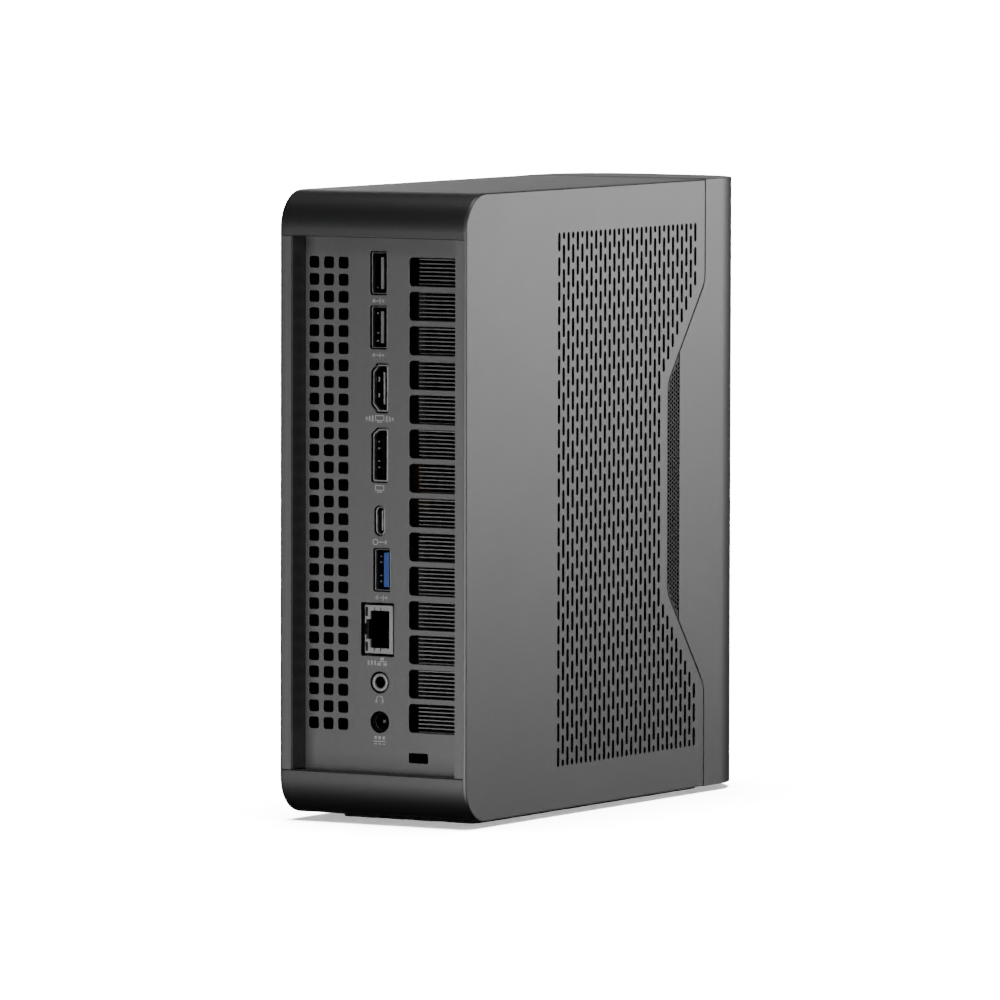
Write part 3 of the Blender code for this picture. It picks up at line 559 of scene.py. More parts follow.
# The recess's inner walls: the plate's paint darkened, painted shade.
RECESS_SHADE = surface("recess_painted_shade", 0.10, 0.11, 0.5, 0.6, 30.0, 3500.0, 0.002)
# Light grey metal for painted highlights: the caps of the black video tongues and a ring in the power inlet.
EDGE_HIGHLIGHT = surface("painted_edge_highlight", 0.80, 0.88, 0.30, 0.6)
TONGUE_GREY = surface("moulded_grey", 0.36, 0.40, 0.5, depth=0.008)
TONGUE_BLUE = surface("moulded_blue", (0.07, 0.17, 0.58), (0.09, 0.20, 0.66), 0.42, depth=0.008)
GOLD = surface("contact_gold", (0.55, 0.36, 0.12), (0.70, 0.48, 0.18), 0.28, 1.0, 400.0, 3000.0, 0.002)
BOARD = surface("solder_mask", (0.006, 0.035, 0.018), (0.010, 0.050, 0.026), 0.35, 0.0, 500.0, 900.0, 0.02,
                coat=0.2)
COPPER = surface("bare_copper", (0.55, 0.24, 0.13), (0.70, 0.34, 0.20), 0.3, 1.0, 60.0, 2500.0, 0.003)
# The heat pipes near black over their copper: painted shade inside the case.
PIPE_SHADE = surface("pipe_painted_shade", 0.006, 0.009, 0.6, 0.3, 60.0, 2500.0, 0.003)
FINS = surface("fin_aluminium", 0.36, 0.41, 0.42, 1.0, 80.0, 2500.0, 0.003, (0.1, 1, 1))
STEEL = surface("plated_steel", 0.42, 0.50, 0.35, 1.0, 70.0, 2500.0, 0.003)
PRINT = surface("white_print", 0.70, 0.78, 0.6, 0.0, 500.0, 3000.0, 0.004)
LENS = surface("light_diffuser", 0.65, 0.75, 0.25, 0.0, 200.0, 3000.0, 0.002, coat=0.4)

NODE_FINISHES = (
    (BOARD, "main_board", "front_board", "memory_module_1", "memory_module_2"),
    (BOARD, "storage_module", "wireless_module"),
    (BLACK, "memory_socket_1", "memory_socket_2", "storage_socket", "wireless_socket"),
    (BLACK, "processor", "power_switch", "blower_housing_upper", "blower_housing_lower"),
    (BLACK, "blower_rotor_upper", "blower_rotor_lower"),
    (COPPER, "cold_plate"),
    (PIPE_SHADE, "heat_pipe_upper", "heat_pipe_lower"),
    (FINS, "fin_stack"),
    (STEEL, "internal_frame", "clock_battery"),
    (STEEL, "board_screw_1", "board_screw_2", "board_screw_3", "board_screw_4"),
)


def finish_cad_nodes():
    """Gives the CAD nodes that stay visible their finishes."""
    for material, *names in NODE_FINISHES:
        for name in names:
            slots = NODES[name].material_slots
            if not slots:
                NODES[name].data.materials.append(material)
            for slot in slots:
                slot.material = material


# ---- case

def seam_half(y, offset):
    """Half height of the seam's slope at y, moved that far towards the front cover."""
    seam = SEAM_REAR - SEAM_GAP / 2
    run = NOTCH_Y - seam
    drop = SEAM_HALF - NOTCH_HALF
    return SEAM_HALF - (y - seam) * drop / run - offset * math.hypot(run, drop) / run


def make_covers():
    """The top and bottom covers, each one sheet that curls over the rear corner."""
    for name, direction in (("top_cover", 1), ("bottom_cover", -1)):
        low, high = cad(name)
        level = high.z if direction == 1 else low.z
        lip = low.z if direction == 1 else high.z
        inner = level - direction * COVER_WALL
        outline = rounded([
            ((low.y, level), 0.3),
            ((high.y, level), REAR_CORNER),
            ((high.y, lip), 0.4),
            ((high.y - COVER_WALL, lip), 0.4),
            ((high.y - COVER_WALL, inner), REAR_CORNER - COVER_WALL),
            ((low.y, inner), 0.3),
        ], hold=COVER_HOLD)
        levels = (low.x - COVER_GROWTH, high.x + COVER_GROWTH, (0.1, 0.1))
        fix_slab("X", name.replace("cover", "shell"), [CASE], "case_paint", [name], outline, *levels)


def side_slots():
    """Outlines of a side panel's slots: columns shifted by half a pitch in turn, cut short at the seam."""
    slots = []
    low_end, high_end = (BOTTOM + end for end in SLOT_FIELD)
    for column in range(SLOT_COLUMNS):
        y = SLOT_LAST_Y - column * SLOT_PITCH_Y
        shift = SLOT_PITCH_Z / 2 if column % 2 else 0.0
        clear = 0.0
        if y < SLOT_SLOPE_Y:
            place, half, growth = SLOT_SLOPE
            clear = half + growth * (place - y)
        for row in range(SLOT_ROWS):
            centre = BOTTOM + SLOT_TOP_CENTRE - shift - (row - 1) * SLOT_PITCH_Z
            low = max(centre - SLOT_HEIGHT / 2, low_end)
            high = min(centre + SLOT_HEIGHT / 2, high_end)
            if clear and centre > MIDDLE:
                low = max(low, MIDDLE + clear)
            elif clear:
                high = min(high, MIDDLE - clear)
            if high - low > SLOT_SHORTEST:
                slots.append(slot_outline(y, low, high, SLOT_WIDTH))
    return slots


def make_side_panels():
    """The side panels with their slots, whose walls are painted shade, each with a thin black sheet on its
    inner face that paints the shade behind the slots.
    """
    front = SEAM_REAR
    outline = rounded([
        ((front, BOTTOM), 0.3),
        ((REAR, BOTTOM), REAR_CORNER),
        ((REAR, TOP), REAR_CORNER),
        ((front, TOP), 0.3),
        ((front, MIDDLE + seam_half(front, 0)), SEAM_FILLET),
        ((NOTCH_Y, MIDDLE + NOTCH_HALF), SEAM_FILLET),
        ((NOTCH_Y, MIDDLE - NOTCH_HALF), SEAM_FILLET),
        ((front, MIDDLE - seam_half(front, 0)), SEAM_FILLET),
    ])
    slots = side_slots()
    edge = front + SHADE_SHEET_INSET
    rear_edge = SLOT_LAST_Y + SHADE_SHEET_REAR
    bend = seam_half(front, 0) - SHADE_SHEET_INSET
    shade_sheet_outline = rounded([(corner, 4) for corner in (
        (edge, BOTTOM + SHADE_SHEET_MARGIN), (rear_edge, BOTTOM + SHADE_SHEET_MARGIN),
        (rear_edge, TOP - SHADE_SHEET_MARGIN), (edge, TOP - SHADE_SHEET_MARGIN),
        (edge, MIDDLE + bend), (NOTCH_Y + 1, MIDDLE + NOTCH_HALF),
        (NOTCH_Y + 1, MIDDLE - NOTCH_HALF), (edge, MIDDLE - bend),
    )])
    for name, side in (("left_side_panel", -1), ("right_side_panel", 1)):
        inner = HALF_WIDTH - PANEL_WALL
        ends = sorted((side * (inner + 0.2), side * HALF_WIDTH))
        rims = (0.05, PANEL_RIM) if side == 1 else (PANEL_RIM, 0.05)
        fix_slab("X", name.replace("panel", "sheet"), [CASE, SHADE_AND_BLACK_PLASTIC], "case_paint", [name],
                 outline, *ends, rims, slots, slots=(0, 1))
        ends = sorted((side * inner, side * (inner + SHADE_SHEET_WALL)))
        fix_slab("X", name.replace("panel", "shade_sheet"), [SHADE_AND_BLACK_PLASTIC], "mesh_steel", [], shade_sheet_outline, *ends)


def make_side_meshes():
    """The strips of perforated steel between each panel and the front cover's wing.

    A strip is made of cells, one hole in each, in columns shifted by half a pitch in turn, and of plain ends.
    """
    for name, side in (("left_side_mesh", -1), ("right_side_mesh", 1)):
        low, high = cad(name)
        front, rear = low.y, high.y
        front_half, rear_half = (seam_half(y, MESH_SEAM_GAP) for y in (front, rear))
        outline = rounded([
            ((front, MIDDLE + front_half), 0), ((rear, MIDDLE + rear_half), SEAM_FILLET),
            ((rear, MIDDLE - rear_half), SEAM_FILLET), ((front, MIDDLE - front_half), 0),
        ])
        outer = high.x if side == 1 else low.x
        ends = sorted((outer, outer - side * MESH_WALL))
        step = MESH_PITCH * math.sqrt(0.75)
        columns = round((rear - front) / step)
        shape = Shape("X")
        for column in range(columns):
            y = rear - (column + 0.5) * step
            start = y - step / 2
            last = front if column == columns - 1 else start
            reach = seam_half(y + step / 2, MESH_SEAM_GAP) - 0.5 * MESH_PITCH - MESH_MARGIN
            reach -= max(0.0, MESH_CORNER - (rear - y))
            if column % 2:
                count = 2 * int(reach / MESH_PITCH + 0.5)
            else:
                count = 1 + 2 * int(reach / MESH_PITCH)
            for row in range(count):
                z = MIDDLE + (row - (count - 1) / 2) * MESH_PITCH
                hole = circle(y, z, MESH_HOLE, 6)
                shape.slab(rectangle(y, z, step, MESH_PITCH), *ends, holes=[hole], slots=(0, 1))
            strip = between_levels(outline, last, y + step / 2)
            tall = count * MESH_PITCH / 2
            for low_end, high_end in ((-FAR, -tall), (tall, FAR)):
                shape.slab(between_levels(strip, MIDDLE + low_end, MIDDLE + high_end, 1), *ends)
            if last < start:
                shape.slab(between_levels(outline, last, start), *ends)
        # The holes' walls take the near-black finish, and a black sheet sits behind the strip: painted shade.
        fix(shape.build(name.replace("mesh", "grille"), MESH, SHADE_AND_BLACK_PLASTIC), "mesh_steel", name)
        ends = sorted(outer - side * depth for depth in MESH_SHADE_SHEET)
        shade_sheet_name = name.replace("mesh", "grille_shade_sheet")
        fix_slab("X", shade_sheet_name, [SHADE_AND_BLACK_PLASTIC], "mesh_steel", [], grown(outline, -0.2), *ends)


def make_front_shell():
    """The hollow front cover with its wings, and the holes for the button, the light and the sockets."""
    def plan(inset, rear):
        half = HALF_WIDTH - inset
        front = FRONT + inset
        radius = FRONT_CORNER - inset
        corners = (((half, rear), 0), ((-half, rear), 0), ((-half, front), radius), ((half, front), radius))
        return rounded(corners)

    def tool(axis, outline, low, high):
        shape = Shape(axis)
        shape.slab(outline, low, high)
        return shape.build("tool", CASE)

    shape = Shape("Z")
    shape.slab(plan(0.0, WING_Y), BOTTOM, TOP)
    shell = shape.build("front_shell", CASE)
    beyond = WING_Y + 20
    tools = [tool("Z", plan(COVER_WALL, beyond), BOTTOM + COVER_WALL, TOP - COVER_WALL)]
    seam = SEAM_REAR - SEAM_GAP
    for side in (1, -1):
        outline = rounded([
            ((seam, MIDDLE + side * FAR), 0),
            ((seam, MIDDLE + side * seam_half(seam, SEAM_GAP)), SEAM_FILLET),
            ((beyond, MIDDLE + side * seam_half(beyond, SEAM_GAP)), 0),
            ((beyond, MIDDLE + side * FAR), 0),
        ])
        tools.append(tool("X", outline, -CUT_REACH, CUT_REACH))
    openings = []
    for node in ("power_button", "power_light"):
        _, z, radius, _, _ = round_node(node)
        if node == "power_button":
            radius = KEY_RADIUS
        openings.append(circle(0, z, radius + KEY_GAP, 48))
    for node in ("front_data_port", "front_oval_port"):
        openings.append(grown(socket_outline(node), FRONT_PORT_GAP))
    for opening in openings:
        tools.append(tool("Y", opening, FRONT - 5, FRONT + 5))
    cut(shell, tools)
    soften(shell, FRONT_BEVEL)
    fix(shell, "case_paint", "front_cover")


def make_seam_lip():
    """The black inner lip that closes the seam between the front cover and the rest of the case, painted
    shade seen through the seam.
    """
    width = 2 * (HALF_WIDTH - COVER_WALL - LIP_GAP)
    height = TOP - BOTTOM - 2 * (COVER_WALL + LIP_GAP)
    outline = rectangle(0, MIDDLE, width, height)
    hole = rectangle(0, MIDDLE, width - 2 * LIP_WALL, height - 2 * LIP_WALL)
    ends = [SEAM_REAR + end for end in LIP_REACH]
    fix_slab("Y", "seam_lip", [SHADE_AND_BLACK_PLASTIC], "case_paint", [], outline, *ends, holes=[hole])


def make_foot():
    """The pad under the case, with a rounded tread edge."""
    _, _, middle, size = measured("base_foot")
    outline = rectangle(middle.x, middle.y, size.x, size.y, 2.0)
    fix_slab("Z", "base_pad", [RUBBER], "base_rubber", ["base_foot"], outline, 0.0, BOTTOM, (0.2, 0.0))


# ---- rear

def make_rear_surround():
    """The frame round the recess: two upright L-shaped pieces and two cross walls; the walls inside the
    recess are darker than the plate, painted shade.
    """
    low, high = cad("rear_frame")
    wall_in = RECESS_HALF_WIDTH
    flange_out = HALF_WIDTH - PANEL_WALL + 0.17
    mouth = REAR - COVER_WALL
    lip_low = cad("bottom_cover")[1].z + 0.05
    lip_high = cad("top_cover")[0].z - 0.05
    end = REAR - RECESS_WALL
    for name, side in (("surround_left", -1), ("surround_right", 1)):
        middle = side * (wall_in + flange_out) / 2
        outline = rectangle(middle, REAR - RECESS_WALL / 2, flange_out - wall_in, RECESS_WALL)
        fix_slab("Z", name + "_flange", [PLATE], "plate_paint", ["rear_frame"], outline, lip_low, lip_high)
        middle = side * (wall_in + RECESS_WALL / 2)
        outline = rectangle(middle, (low.y + end) / 2, RECESS_WALL, end - low.y)
        fix_slab("Z", name, [RECESS_SHADE], "plate_paint", ["rear_frame"], outline, lip_low, lip_high)
    for name, z in (("surround_top", high.z - 0.6), ("surround_bottom", low.z + 0.2)):
        outline = rectangle(0, z, 2 * wall_in, RECESS_WALL)
        fix_slab("Y", name, [RECESS_SHADE], "plate_paint", ["rear_frame"], outline, low.y, mouth)


def socket_outline(node):
    """Outline of a socket's shell at its place, by its kind."""
    low, high, middle, size = measured(node)
    if node.startswith("video_port"):
        far, top = high.x, (high.z - low.z) / 2
        if node == "video_port_flared":
            upper = [(far, top - 2.3), (far - 0.7, top - 1.45), (far - 1.45, top - 0.75), (far - 1.75, top)]
            line = upper + [(low.x, top), (low.x, -top)] + [(a, -b) for a, b in reversed(upper)]
        else:
            line = [(far, -top), (far, top - 1.8), (far - 2.0, top), (low.x, top), (low.x, -top)]
        return rounded([((a, middle.z + b), 0.3) for a, b in line])
    if "oval" in node:
        return rectangle(middle.x, middle.z, size.x, size.z, size.x / 2 - 0.02, 8)
    if node in ("audio_jack", "power_inlet"):
        return circle(middle.x, middle.z, size.x / 2, 40)
    return rectangle(middle.x, middle.z, size.x, size.z, 0.5)


def make_plate():
    """The plate at the floor of the recess, with every hole rounded over."""
    low, high, middle, size = measured("port_plate")
    holes = []
    for row in range(VENT_ROWS):
        for column in range(VENT_COLUMNS):
            x = VENT_FIRST_X + column * VENT_PITCH
            z = BOTTOM + VENT_LOWEST + row * VENT_PITCH
            holes.append(rectangle(x, z, VENT_HOLE, VENT_HOLE, VENT_CORNER))
    left, right = WINDOW_X
    for window in range(WINDOW_COUNT):
        z = BOTTOM + WINDOW_LOWEST + window * WINDOW_PITCH
        holes.append(rectangle((left + right) / 2, z, right - left, WINDOW_HEIGHT, WINDOW_CORNER))
    x, height, wide, tall = LOCK_SLOT
    holes.append(rectangle(x, BOTTOM + height, wide, tall, 0.5))
    gaps = {
        "data_port_upper": 0.32, "data_port_lower": 0.32, "video_port_flared": 0.4,
        "video_port_bevelled": 0.35, "oval_port": 0.32, "data_port_fast": 0.32, "network_jack": 0.8,
        "audio_jack": 0.58, "power_inlet": 0.33,
    }
    for node, gap in gaps.items():
        line = socket_outline(node)
        if node == "network_jack":
            _, _, centre, jack = measured(node)
            line = rectangle(centre.x + 0.15, centre.z, jack.x + 0.3, jack.z)
        holes.append(grown(line, gap))
    outline = rectangle(middle.x, middle.z, size.x + 0.6, size.z + 1.5)
    # The holes' walls take the near-black finish: painted shade.
    fix_slab("Y", "rear_plate", [PLATE, SHADE_AND_BLACK_PLASTIC], "plate_paint", ["port_plate"],
             outline, low.y, high.y, (0.0, 0.0), holes, PLATE_HOLE_RIM, (0, 1))


def mouth_of(node):
    """A socket's direction inwards along Y, and the levels of its mouth and its back."""
    low, high = cad(node)
    return (1, low.y, high.y) if node.startswith("front") else (-1, high.y, low.y)


def make_socket(node, insert, wall=SOCKET_WALL, metal=SHELL):
    """A socket's metal shell with rolled edges, and a black moulding that closes its back; the walls deeper
    than the bare metal are black as painted shade.
    """
    inward, mouth, back = mouth_of(node)
    outer = socket_outline(node)
    inner = grown(outer, -wall)
    shape = Shape("Y")
    rolled = shape.rim(outer, mouth, inward, SOCKET_ROLL, SOCKET_ROLL)
    lip = shape.rim(inner, mouth, inward, SOCKET_ROLL, -SOCKET_ROLL)
    deep = shape.ring(inner, mouth + inward * SOCKET_SHADE_DEPTH)
    behind = shape.ring(outer, back)
    floor = shape.ring(inner, back - inward * SOCKET_FLOOR)
    shape.bridge(behind, rolled[-1])
    for rings in (rolled, lip):
        for one, other in zip(rings, rings[1:]):
            shape.bridge(one, other)
    shape.bridge(rolled[0], lip[0], 0, False)
    shape.bridge(lip[-1], deep)
    shape.bridge(deep, floor, 1)
    shape.fill(floor, slot=1)
    shape.fill(behind)
    fix(shape.build(node + "_shell", metal, SHADE_AND_BLACK_PLASTIC), "port_steel", node)
    make_tongue(node, *insert)


def make_tongue(node, material, slot_name, contacts, thick=None):
    """A socket's tongue, with its contacts in a row on its +X face; contacts are their number and width."""
    _, _, middle, size = measured(node + "_tongue")
    inward, mouth, back = mouth_of(node + "_tongue")
    outline = rectangle(middle.x, middle.z, thick or size.x, size.z, 0.12)
    shape = Shape("Y")
    if material is TONGUE_BLUE:
        shape.slab(outline, *sorted((mouth, back)), (0.12, 0.0) if inward == 1 else (0.0, 0.12))
    else:
        # Only the front cap has the tongue's finish; the rest is near black, painted shade on its sides.
        cap = mouth + inward * TONGUE_CAP
        shape.slab(outline, *sorted((mouth, cap)), (0.06, 0.0) if inward == 1 else (0.0, 0.06))
        shape.slab(grown(outline, -0.03), *sorted((cap, back)), slots=(1, 1))
    fix(shape.build(node + "_core", material, SHADE_AND_BLACK_PLASTIC), slot_name, node + "_tongue")
    count, wide = contacts
    metal = Shape("Y")
    start = mouth + inward * CONTACT_DEPTH
    ends = sorted((start, start + inward * CONTACT_LENGTH))
    face = middle.x + (thick or size.x) / 2
    for index in range(count):
        z = middle.z + (index - (count - 1) / 2) * size.z * 0.88 / count
        metal.slab(rectangle(face, z, CONTACT_WALL, wide), *ends, (0.03, 0.03))
    fix(metal.build(node + "_contacts", GOLD), "port_steel")


def make_springs(node, rows):
    """Sprung tabs on a socket's +X wall; rows gives each one's place, from -1 to 1, and half its width."""
    _, high, middle, size = measured(node)
    inward, mouth, _ = mouth_of(node)
    shape = Shape("Z")
    wall = high.x - SOCKET_WALL
    for row, half in rows:
        z = middle.z + row * size.z / 2
        places = [(wall - lift, mouth + inward * (run + SPRING_DEPTH)) for lift, run in SPRING_PATH]
        places += [(x + SPRING_WALL, y) for x, y in reversed(places[1:-1])]
        shape.slab([Vector(place) for place in places], z - half, z + half, (0.05, 0.05))
    fix(shape.build(node + "_springs", SPRING), "port_steel")


def make_sockets():
    """Every box-shaped socket but the network jack."""
    grey_insert = (TONGUE_GREY, "tongue_grey", (4, 1.1), 1.05)
    blue_insert = (TONGUE_BLUE, "tongue_blue", (4, 1.1))
    make_socket("data_port_upper", grey_insert, metal=TIN_DARK)
    make_socket("data_port_lower", grey_insert, metal=TIN_DARK)
    # The flared and oval tongues are black mouldings; their light caps are painted highlights on their front
    # edges.
    make_socket("video_port_flared", (EDGE_HIGHLIGHT, "tongue_black", (9, 0.5), 0.5), 0.5)
    make_socket("video_port_bevelled", (SHADE_AND_BLACK_PLASTIC, "tongue_black", (9, 0.5)), 0.5)
    make_socket("oval_port", (EDGE_HIGHLIGHT, "tongue_black", (6, 0.4), 0.4), 0.36)
    make_socket("data_port_fast", blue_insert, metal=TIN_DARK)
    make_socket("front_data_port", blue_insert, metal=TIN_DARK)
    make_socket("front_oval_port", (BLACK, "tongue_black", (6, 0.4)), 0.28, TIN_DARK)
    make_springs("data_port_upper", ((-0.72, 0.14),))
    make_springs("data_port_lower", ((0.66, 0.25), (-0.3, 0.25), (-0.66, 0.2)))
    make_springs("data_port_fast", ((0.62, 0.2), (0.34, 0.25), (-0.3, 0.2), (-0.58, 0.25)))
    make_springs("front_data_port", ((-0.5, 0.25), (0.5, 0.25)))
    make_springs("video_port_flared", ((0.36, 0.8), (-0.32, 0.6)))
    make_springs("video_port_bevelled", ((0.5, 0.25), (0.24, 0.3), (-0.24, 0.25), (-0.48, 0.25)))


def make_network_jack():
    """The network jack: a tinned face with a stepped opening, its lamps, its lining and its contacts."""
    low, high, middle, _ = measured("network_jack")
    left, right = low.x, high.x
    top = (high.z - low.z) / 2
    opening = (left + 1.3, right - 2.0)
    half = 5.9
    upper = [(right, 1.75), (right, top), (left, top)]
    steps = [(opening[0], half)]
    for x in (opening[0] + 3.2, opening[0] + 5.4):
        steps += [(x - 0.19, half), (x - 0.19, half + 1.0), (x + 0.19, half + 1.0), (x + 0.19, half)]
    steps += [(opening[1], half), (opening[1], 3.15), (right - 0.38, 3.15), (right - 0.38, 1.75)]
    line = upper + [(a, -b) for a, b in reversed(upper)]
    line += [(a, -b) for a, b in reversed(steps)] + steps
    outline = [Vector((a, middle.z + b)) for a, b in line]
    levels = (high.y - 0.9, high.y, (0.0, 0.06))
    fix_slab("Y", "network_jack_face", [JACK], "port_steel", ["network_jack"], outline, *levels)
    body = Shape("Y")
    lining = half + 0.3
    wall = [(right, top), (left, top), (left, -top), (right, -top)]
    wall += [(right, -lining), (left + 0.9, -lining), (left + 0.9, lining), (right, lining)]
    body.slab([Vector((a, middle.z + b)) for a, b in wall], low.y + 1.0, high.y - 0.9)
    body.slab(rectangle(middle.x, middle.z, right - left, 2 * top), low.y, low.y + 1.0)
    body.slab(rectangle(right - 0.15, middle.z, 0.3, 2 * half + 0.4), low.y + 1.0, high.y - 3.2)
    fix(body.build("network_jack_body", SHADE_AND_BLACK_PLASTIC), "port_steel")
    lamps = Shape("Y")
    for side in (1, -1):
        outline = rectangle(right - 0.65, middle.z + side * 5.5, 0.9, 2.9, 0.1)
        lamps.slab(outline, high.y - 0.3, high.y + 0.03, (0, 0.03))
    fix(lamps.build("network_jack_lamps", BLACK), "port_steel")
    wires = Shape("Z")
    for index in range(8):
        z = middle.z + (index - 3.5) * 1.02
        foot, tip = low.y + 1.2, high.y - 5.0
        path = ((left + 1.0, foot), (left + 1.3, foot), (left + 3.0, tip), (left + 2.7, tip))
        wires.slab([Vector(point) for point in path], z - 0.16, z + 0.16)
    fix(wires.build("network_jack_contacts", GOLD), "port_steel")


def make_round_sockets():
    """The audio jack with its metal ring, and the power inlet with its sleeve and pin."""
    x, z, radius, back, face = round_node("audio_jack")
    ring = Shape("Y")
    ring.lathe(x, z, [
        (radius, back, 1), (radius, face - 0.15, 0), (radius - 0.06, face - 0.04, 0),
        (radius - 0.15, face, 0), (2.05, face, 0), (1.95, face - 0.05, 0), (1.9, face - 0.15, 0),
        (1.9, face - 0.9, 0), (1.75, face - 1.0, 1), (1.75, back + 1.0, 1),
    ], 40)
    fix(ring.build("audio_jack_ring", JACK, SHADE_AND_BLACK_PLASTIC), "jack_plastic", "audio_jack")

    x, z, radius, back, face = round_node("power_inlet")
    barrel = Shape("Y")
    # Its second finish is a light ring in the sleeve, a painted highlight; the black deeper in is painted
    # shade.
    barrel.lathe(x, z, [
        (radius, back, 0), (radius, face - 0.1, 0), (radius - 0.1, face, 0), (2.62, face, 0),
        (2.55, face - 0.08, 0), (2.5, face - 0.6, 0), (2.5, face - 0.95, 1), (2.5, face - 1.6, 2),
        (2.5, back + 1.0, 2),
    ], 40)
    fix(barrel.build("power_inlet_barrel", GLOSS, EDGE_HIGHLIGHT, SHADE_AND_BLACK_PLASTIC), "jack_plastic", "power_inlet")
    _, _, radius, back, tip = round_node("power_inlet_pin")
    pin = Shape("Y")
    pin.lathe(x, z, [
        (radius, back, 0), (radius, tip - 0.5, 0), (radius * 0.85, tip - 0.2, 0), (radius * 0.5, tip, 0),
        (radius * 0.3, tip, 0), (radius * 0.3, tip - 0.6, 0),
    ], 24)
    fix(pin.build("power_inlet_core", SPRING), "port_steel", "power_inlet_pin")


def bar(shape, x, z, width, height):
    """A printed bar on the port plate."""
    level = cad("port_plate")[1].y
    shape.slab(rectangle(x, z, width, height), level, level + PRINT_DEPTH)


def ring_mark(shape, x, z, radius, line=PRINT_LINE, part=1.0):
    """A printed ring, or the part of one from the +X side upwards."""
    level = cad("port_plate")[1].y
    steps = 16
    outer = []
    inner = []
    for step in range(steps + 1):
        turn = 2 * math.pi * part * step / steps
        ray = Vector((math.cos(turn), math.sin(turn)))
        outer.append(Vector((x, z)) + ray * radius)
        inner.append(Vector((x, z)) + ray * (radius - line))
    for one in range(steps):
        shape.slab([outer[one], outer[one + 1], inner[one + 1], inner[one]], level, level + PRINT_DEPTH)


def screen_mark(shape, x, z):
    """A printed screen on a stand."""
    for lift in (1.0, -0.5):
        bar(shape, x, z + lift, 3.4, PRINT_LINE)
    for side in (1, -1):
        bar(shape, x + side * 1.55, z + 0.25, PRINT_LINE, 1.5)
    bar(shape, x, z - 1.05, 1.8, PRINT_LINE)


def mark_place(node, drop):
    """The place of a sign that far below a socket."""
    low, high = cad(node)
    return (low.x + high.x) / 2, low.z - drop


def make_marks():
    """Plain printed signs below the sockets: bars, boxes, rings and arcs, without letters."""
    marks = Shape("Y")
    for node in ("data_port_upper", "data_port_lower", "data_port_fast"):
        x, z = mark_place(node, 2.2)
        bar(marks, x, z, 3.6, PRINT_LINE)
        ring_mark(marks, x + 1.7, z, 0.6, 0.59)
        bar(marks, x - 1.7, z, 0.7, 0.9)
        bar(marks, x - 0.5, z, PRINT_LINE, 1.7)
    x, z = mark_place("video_port_flared", 2.2)
    screen_mark(marks, x, z)
    for side in (1, -1):
        for step in range(3):
            bar(marks, x + side * (2.6 + 1.1 * step), z, 0.6, 2.1 - 0.5 * step)
    screen_mark(marks, *mark_place("video_port_bevelled", 2.2))
    x, z = mark_place("oval_port", 2.2)
    ring_mark(marks, x + 1.5, z, 1.05)
    bar(marks, x - 0.9, z, 2.4, PRINT_LINE)
    bar(marks, x - 2.3, z, 0.7, 1.1)
    x, z = mark_place("network_jack", 2.4)
    for dx, dz in ((-1.6, 0.8), (-2.7, -0.9), (-0.5, -0.9)):
        bar(marks, x + dx, z + dz, 1.4, 0.9)
    bar(marks, x - 1.6, z - 0.05, 3.4, 0.3)
    for dx in (1.0, 2.2, 3.4):
        bar(marks, x + dx, z - 0.5, 0.7, 1.5)
    x, z = mark_place("audio_jack", 2.6)
    ring_mark(marks, x, z, 1.35, part=0.5)
    for side in (1, -1):
        bar(marks, x + side * 1.15, z - 0.45, 0.6, 1.2)
    x, z = mark_place("power_inlet", 2.9)
    for dx in (-1.5, 0, 1.5):
        bar(marks, x + dx, z + 1.05, 0.9, 1.0)
        bar(marks, x + dx, z - 0.9, 1.0, PRINT_LINE)
    bar(marks, x, z - 0.1, 4.4, 0.34)
    fix(marks.build("port_marks", PRINT), "plate_paint")


# ---- front

def make_front_pieces():
    """The power button with a shallow dish, and the light's lens."""
    _, z, _, face, back = round_node("power_button")
    button = Shape("Y")
    button.lathe(0, z, [
        (0.4, face + 0.35, 0), (3.5, face + 0.3, 0), (5.2, face + 0.1, 0), (5.5, face, 0),
        (5.75, face + 0.02, 0), (5.93, face + 0.12, 0), (KEY_RADIUS, face + 0.3, 0),
        (KEY_RADIUS, face + 1.9, 0), (7.2, face + 1.9, 0), (7.2, back, 0),
    ], 64)
    fix(button.build("power_key", CASE), "button_paint", "power_button", body="power_button")
    _, z, _, face, back = round_node("power_light")
    lens = Shape("Y")
    lens.lathe(0, z, [
        (0.5, face, 0), (0.9, face + 0.05, 0), (1.08, face + 0.2, 0), (1.1, face + 0.4, 0), (1.1, back, 0),
    ])
    fix(lens.build("power_lens", LENS), "light_lens", "power_light")


# ---- stage

LIT_POINT = Vector((0.0, 0.0, 0.1))

# Azimuth (0 is the rear, 90 is -X) and elevation in degrees, distance and size in metres, power in watts
LIGHTS = {
    "rear_right": (-15, -8, 0.8, 0.2, 0.32),
    "rear_middle": (0, -8, 0.8, 0.2, 0.28),
    "rear_low": (-4, -28, 0.8, 0.2, 0.40),
    "rear_left": (15, 0, 0.8, 0.2, 0.48),
    "rear_high": (30, 30, 0.8, 0.2, 0.85),
    "side_far": (142, 0, 1.2, 0.2, 1.05),
    "side_near": (144, 15, 0.5, 0.16, 0.21),
    "top_glow": (210, 14, 1.6, 0.4, 0.52),
    "overhead": (0, 88, 1.0, 0.5, 1.5),
    "front_fill": (235, 15, 0.7, 0.4, 1.2),
    "front_near": (197, -5, 0.31, 0.12, 0.3),
    "left_fill": (88, -6, 1.2, 0.6, 2.0),
    "right_fill": (272, -6, 1.2, 0.6, 2.4),
}


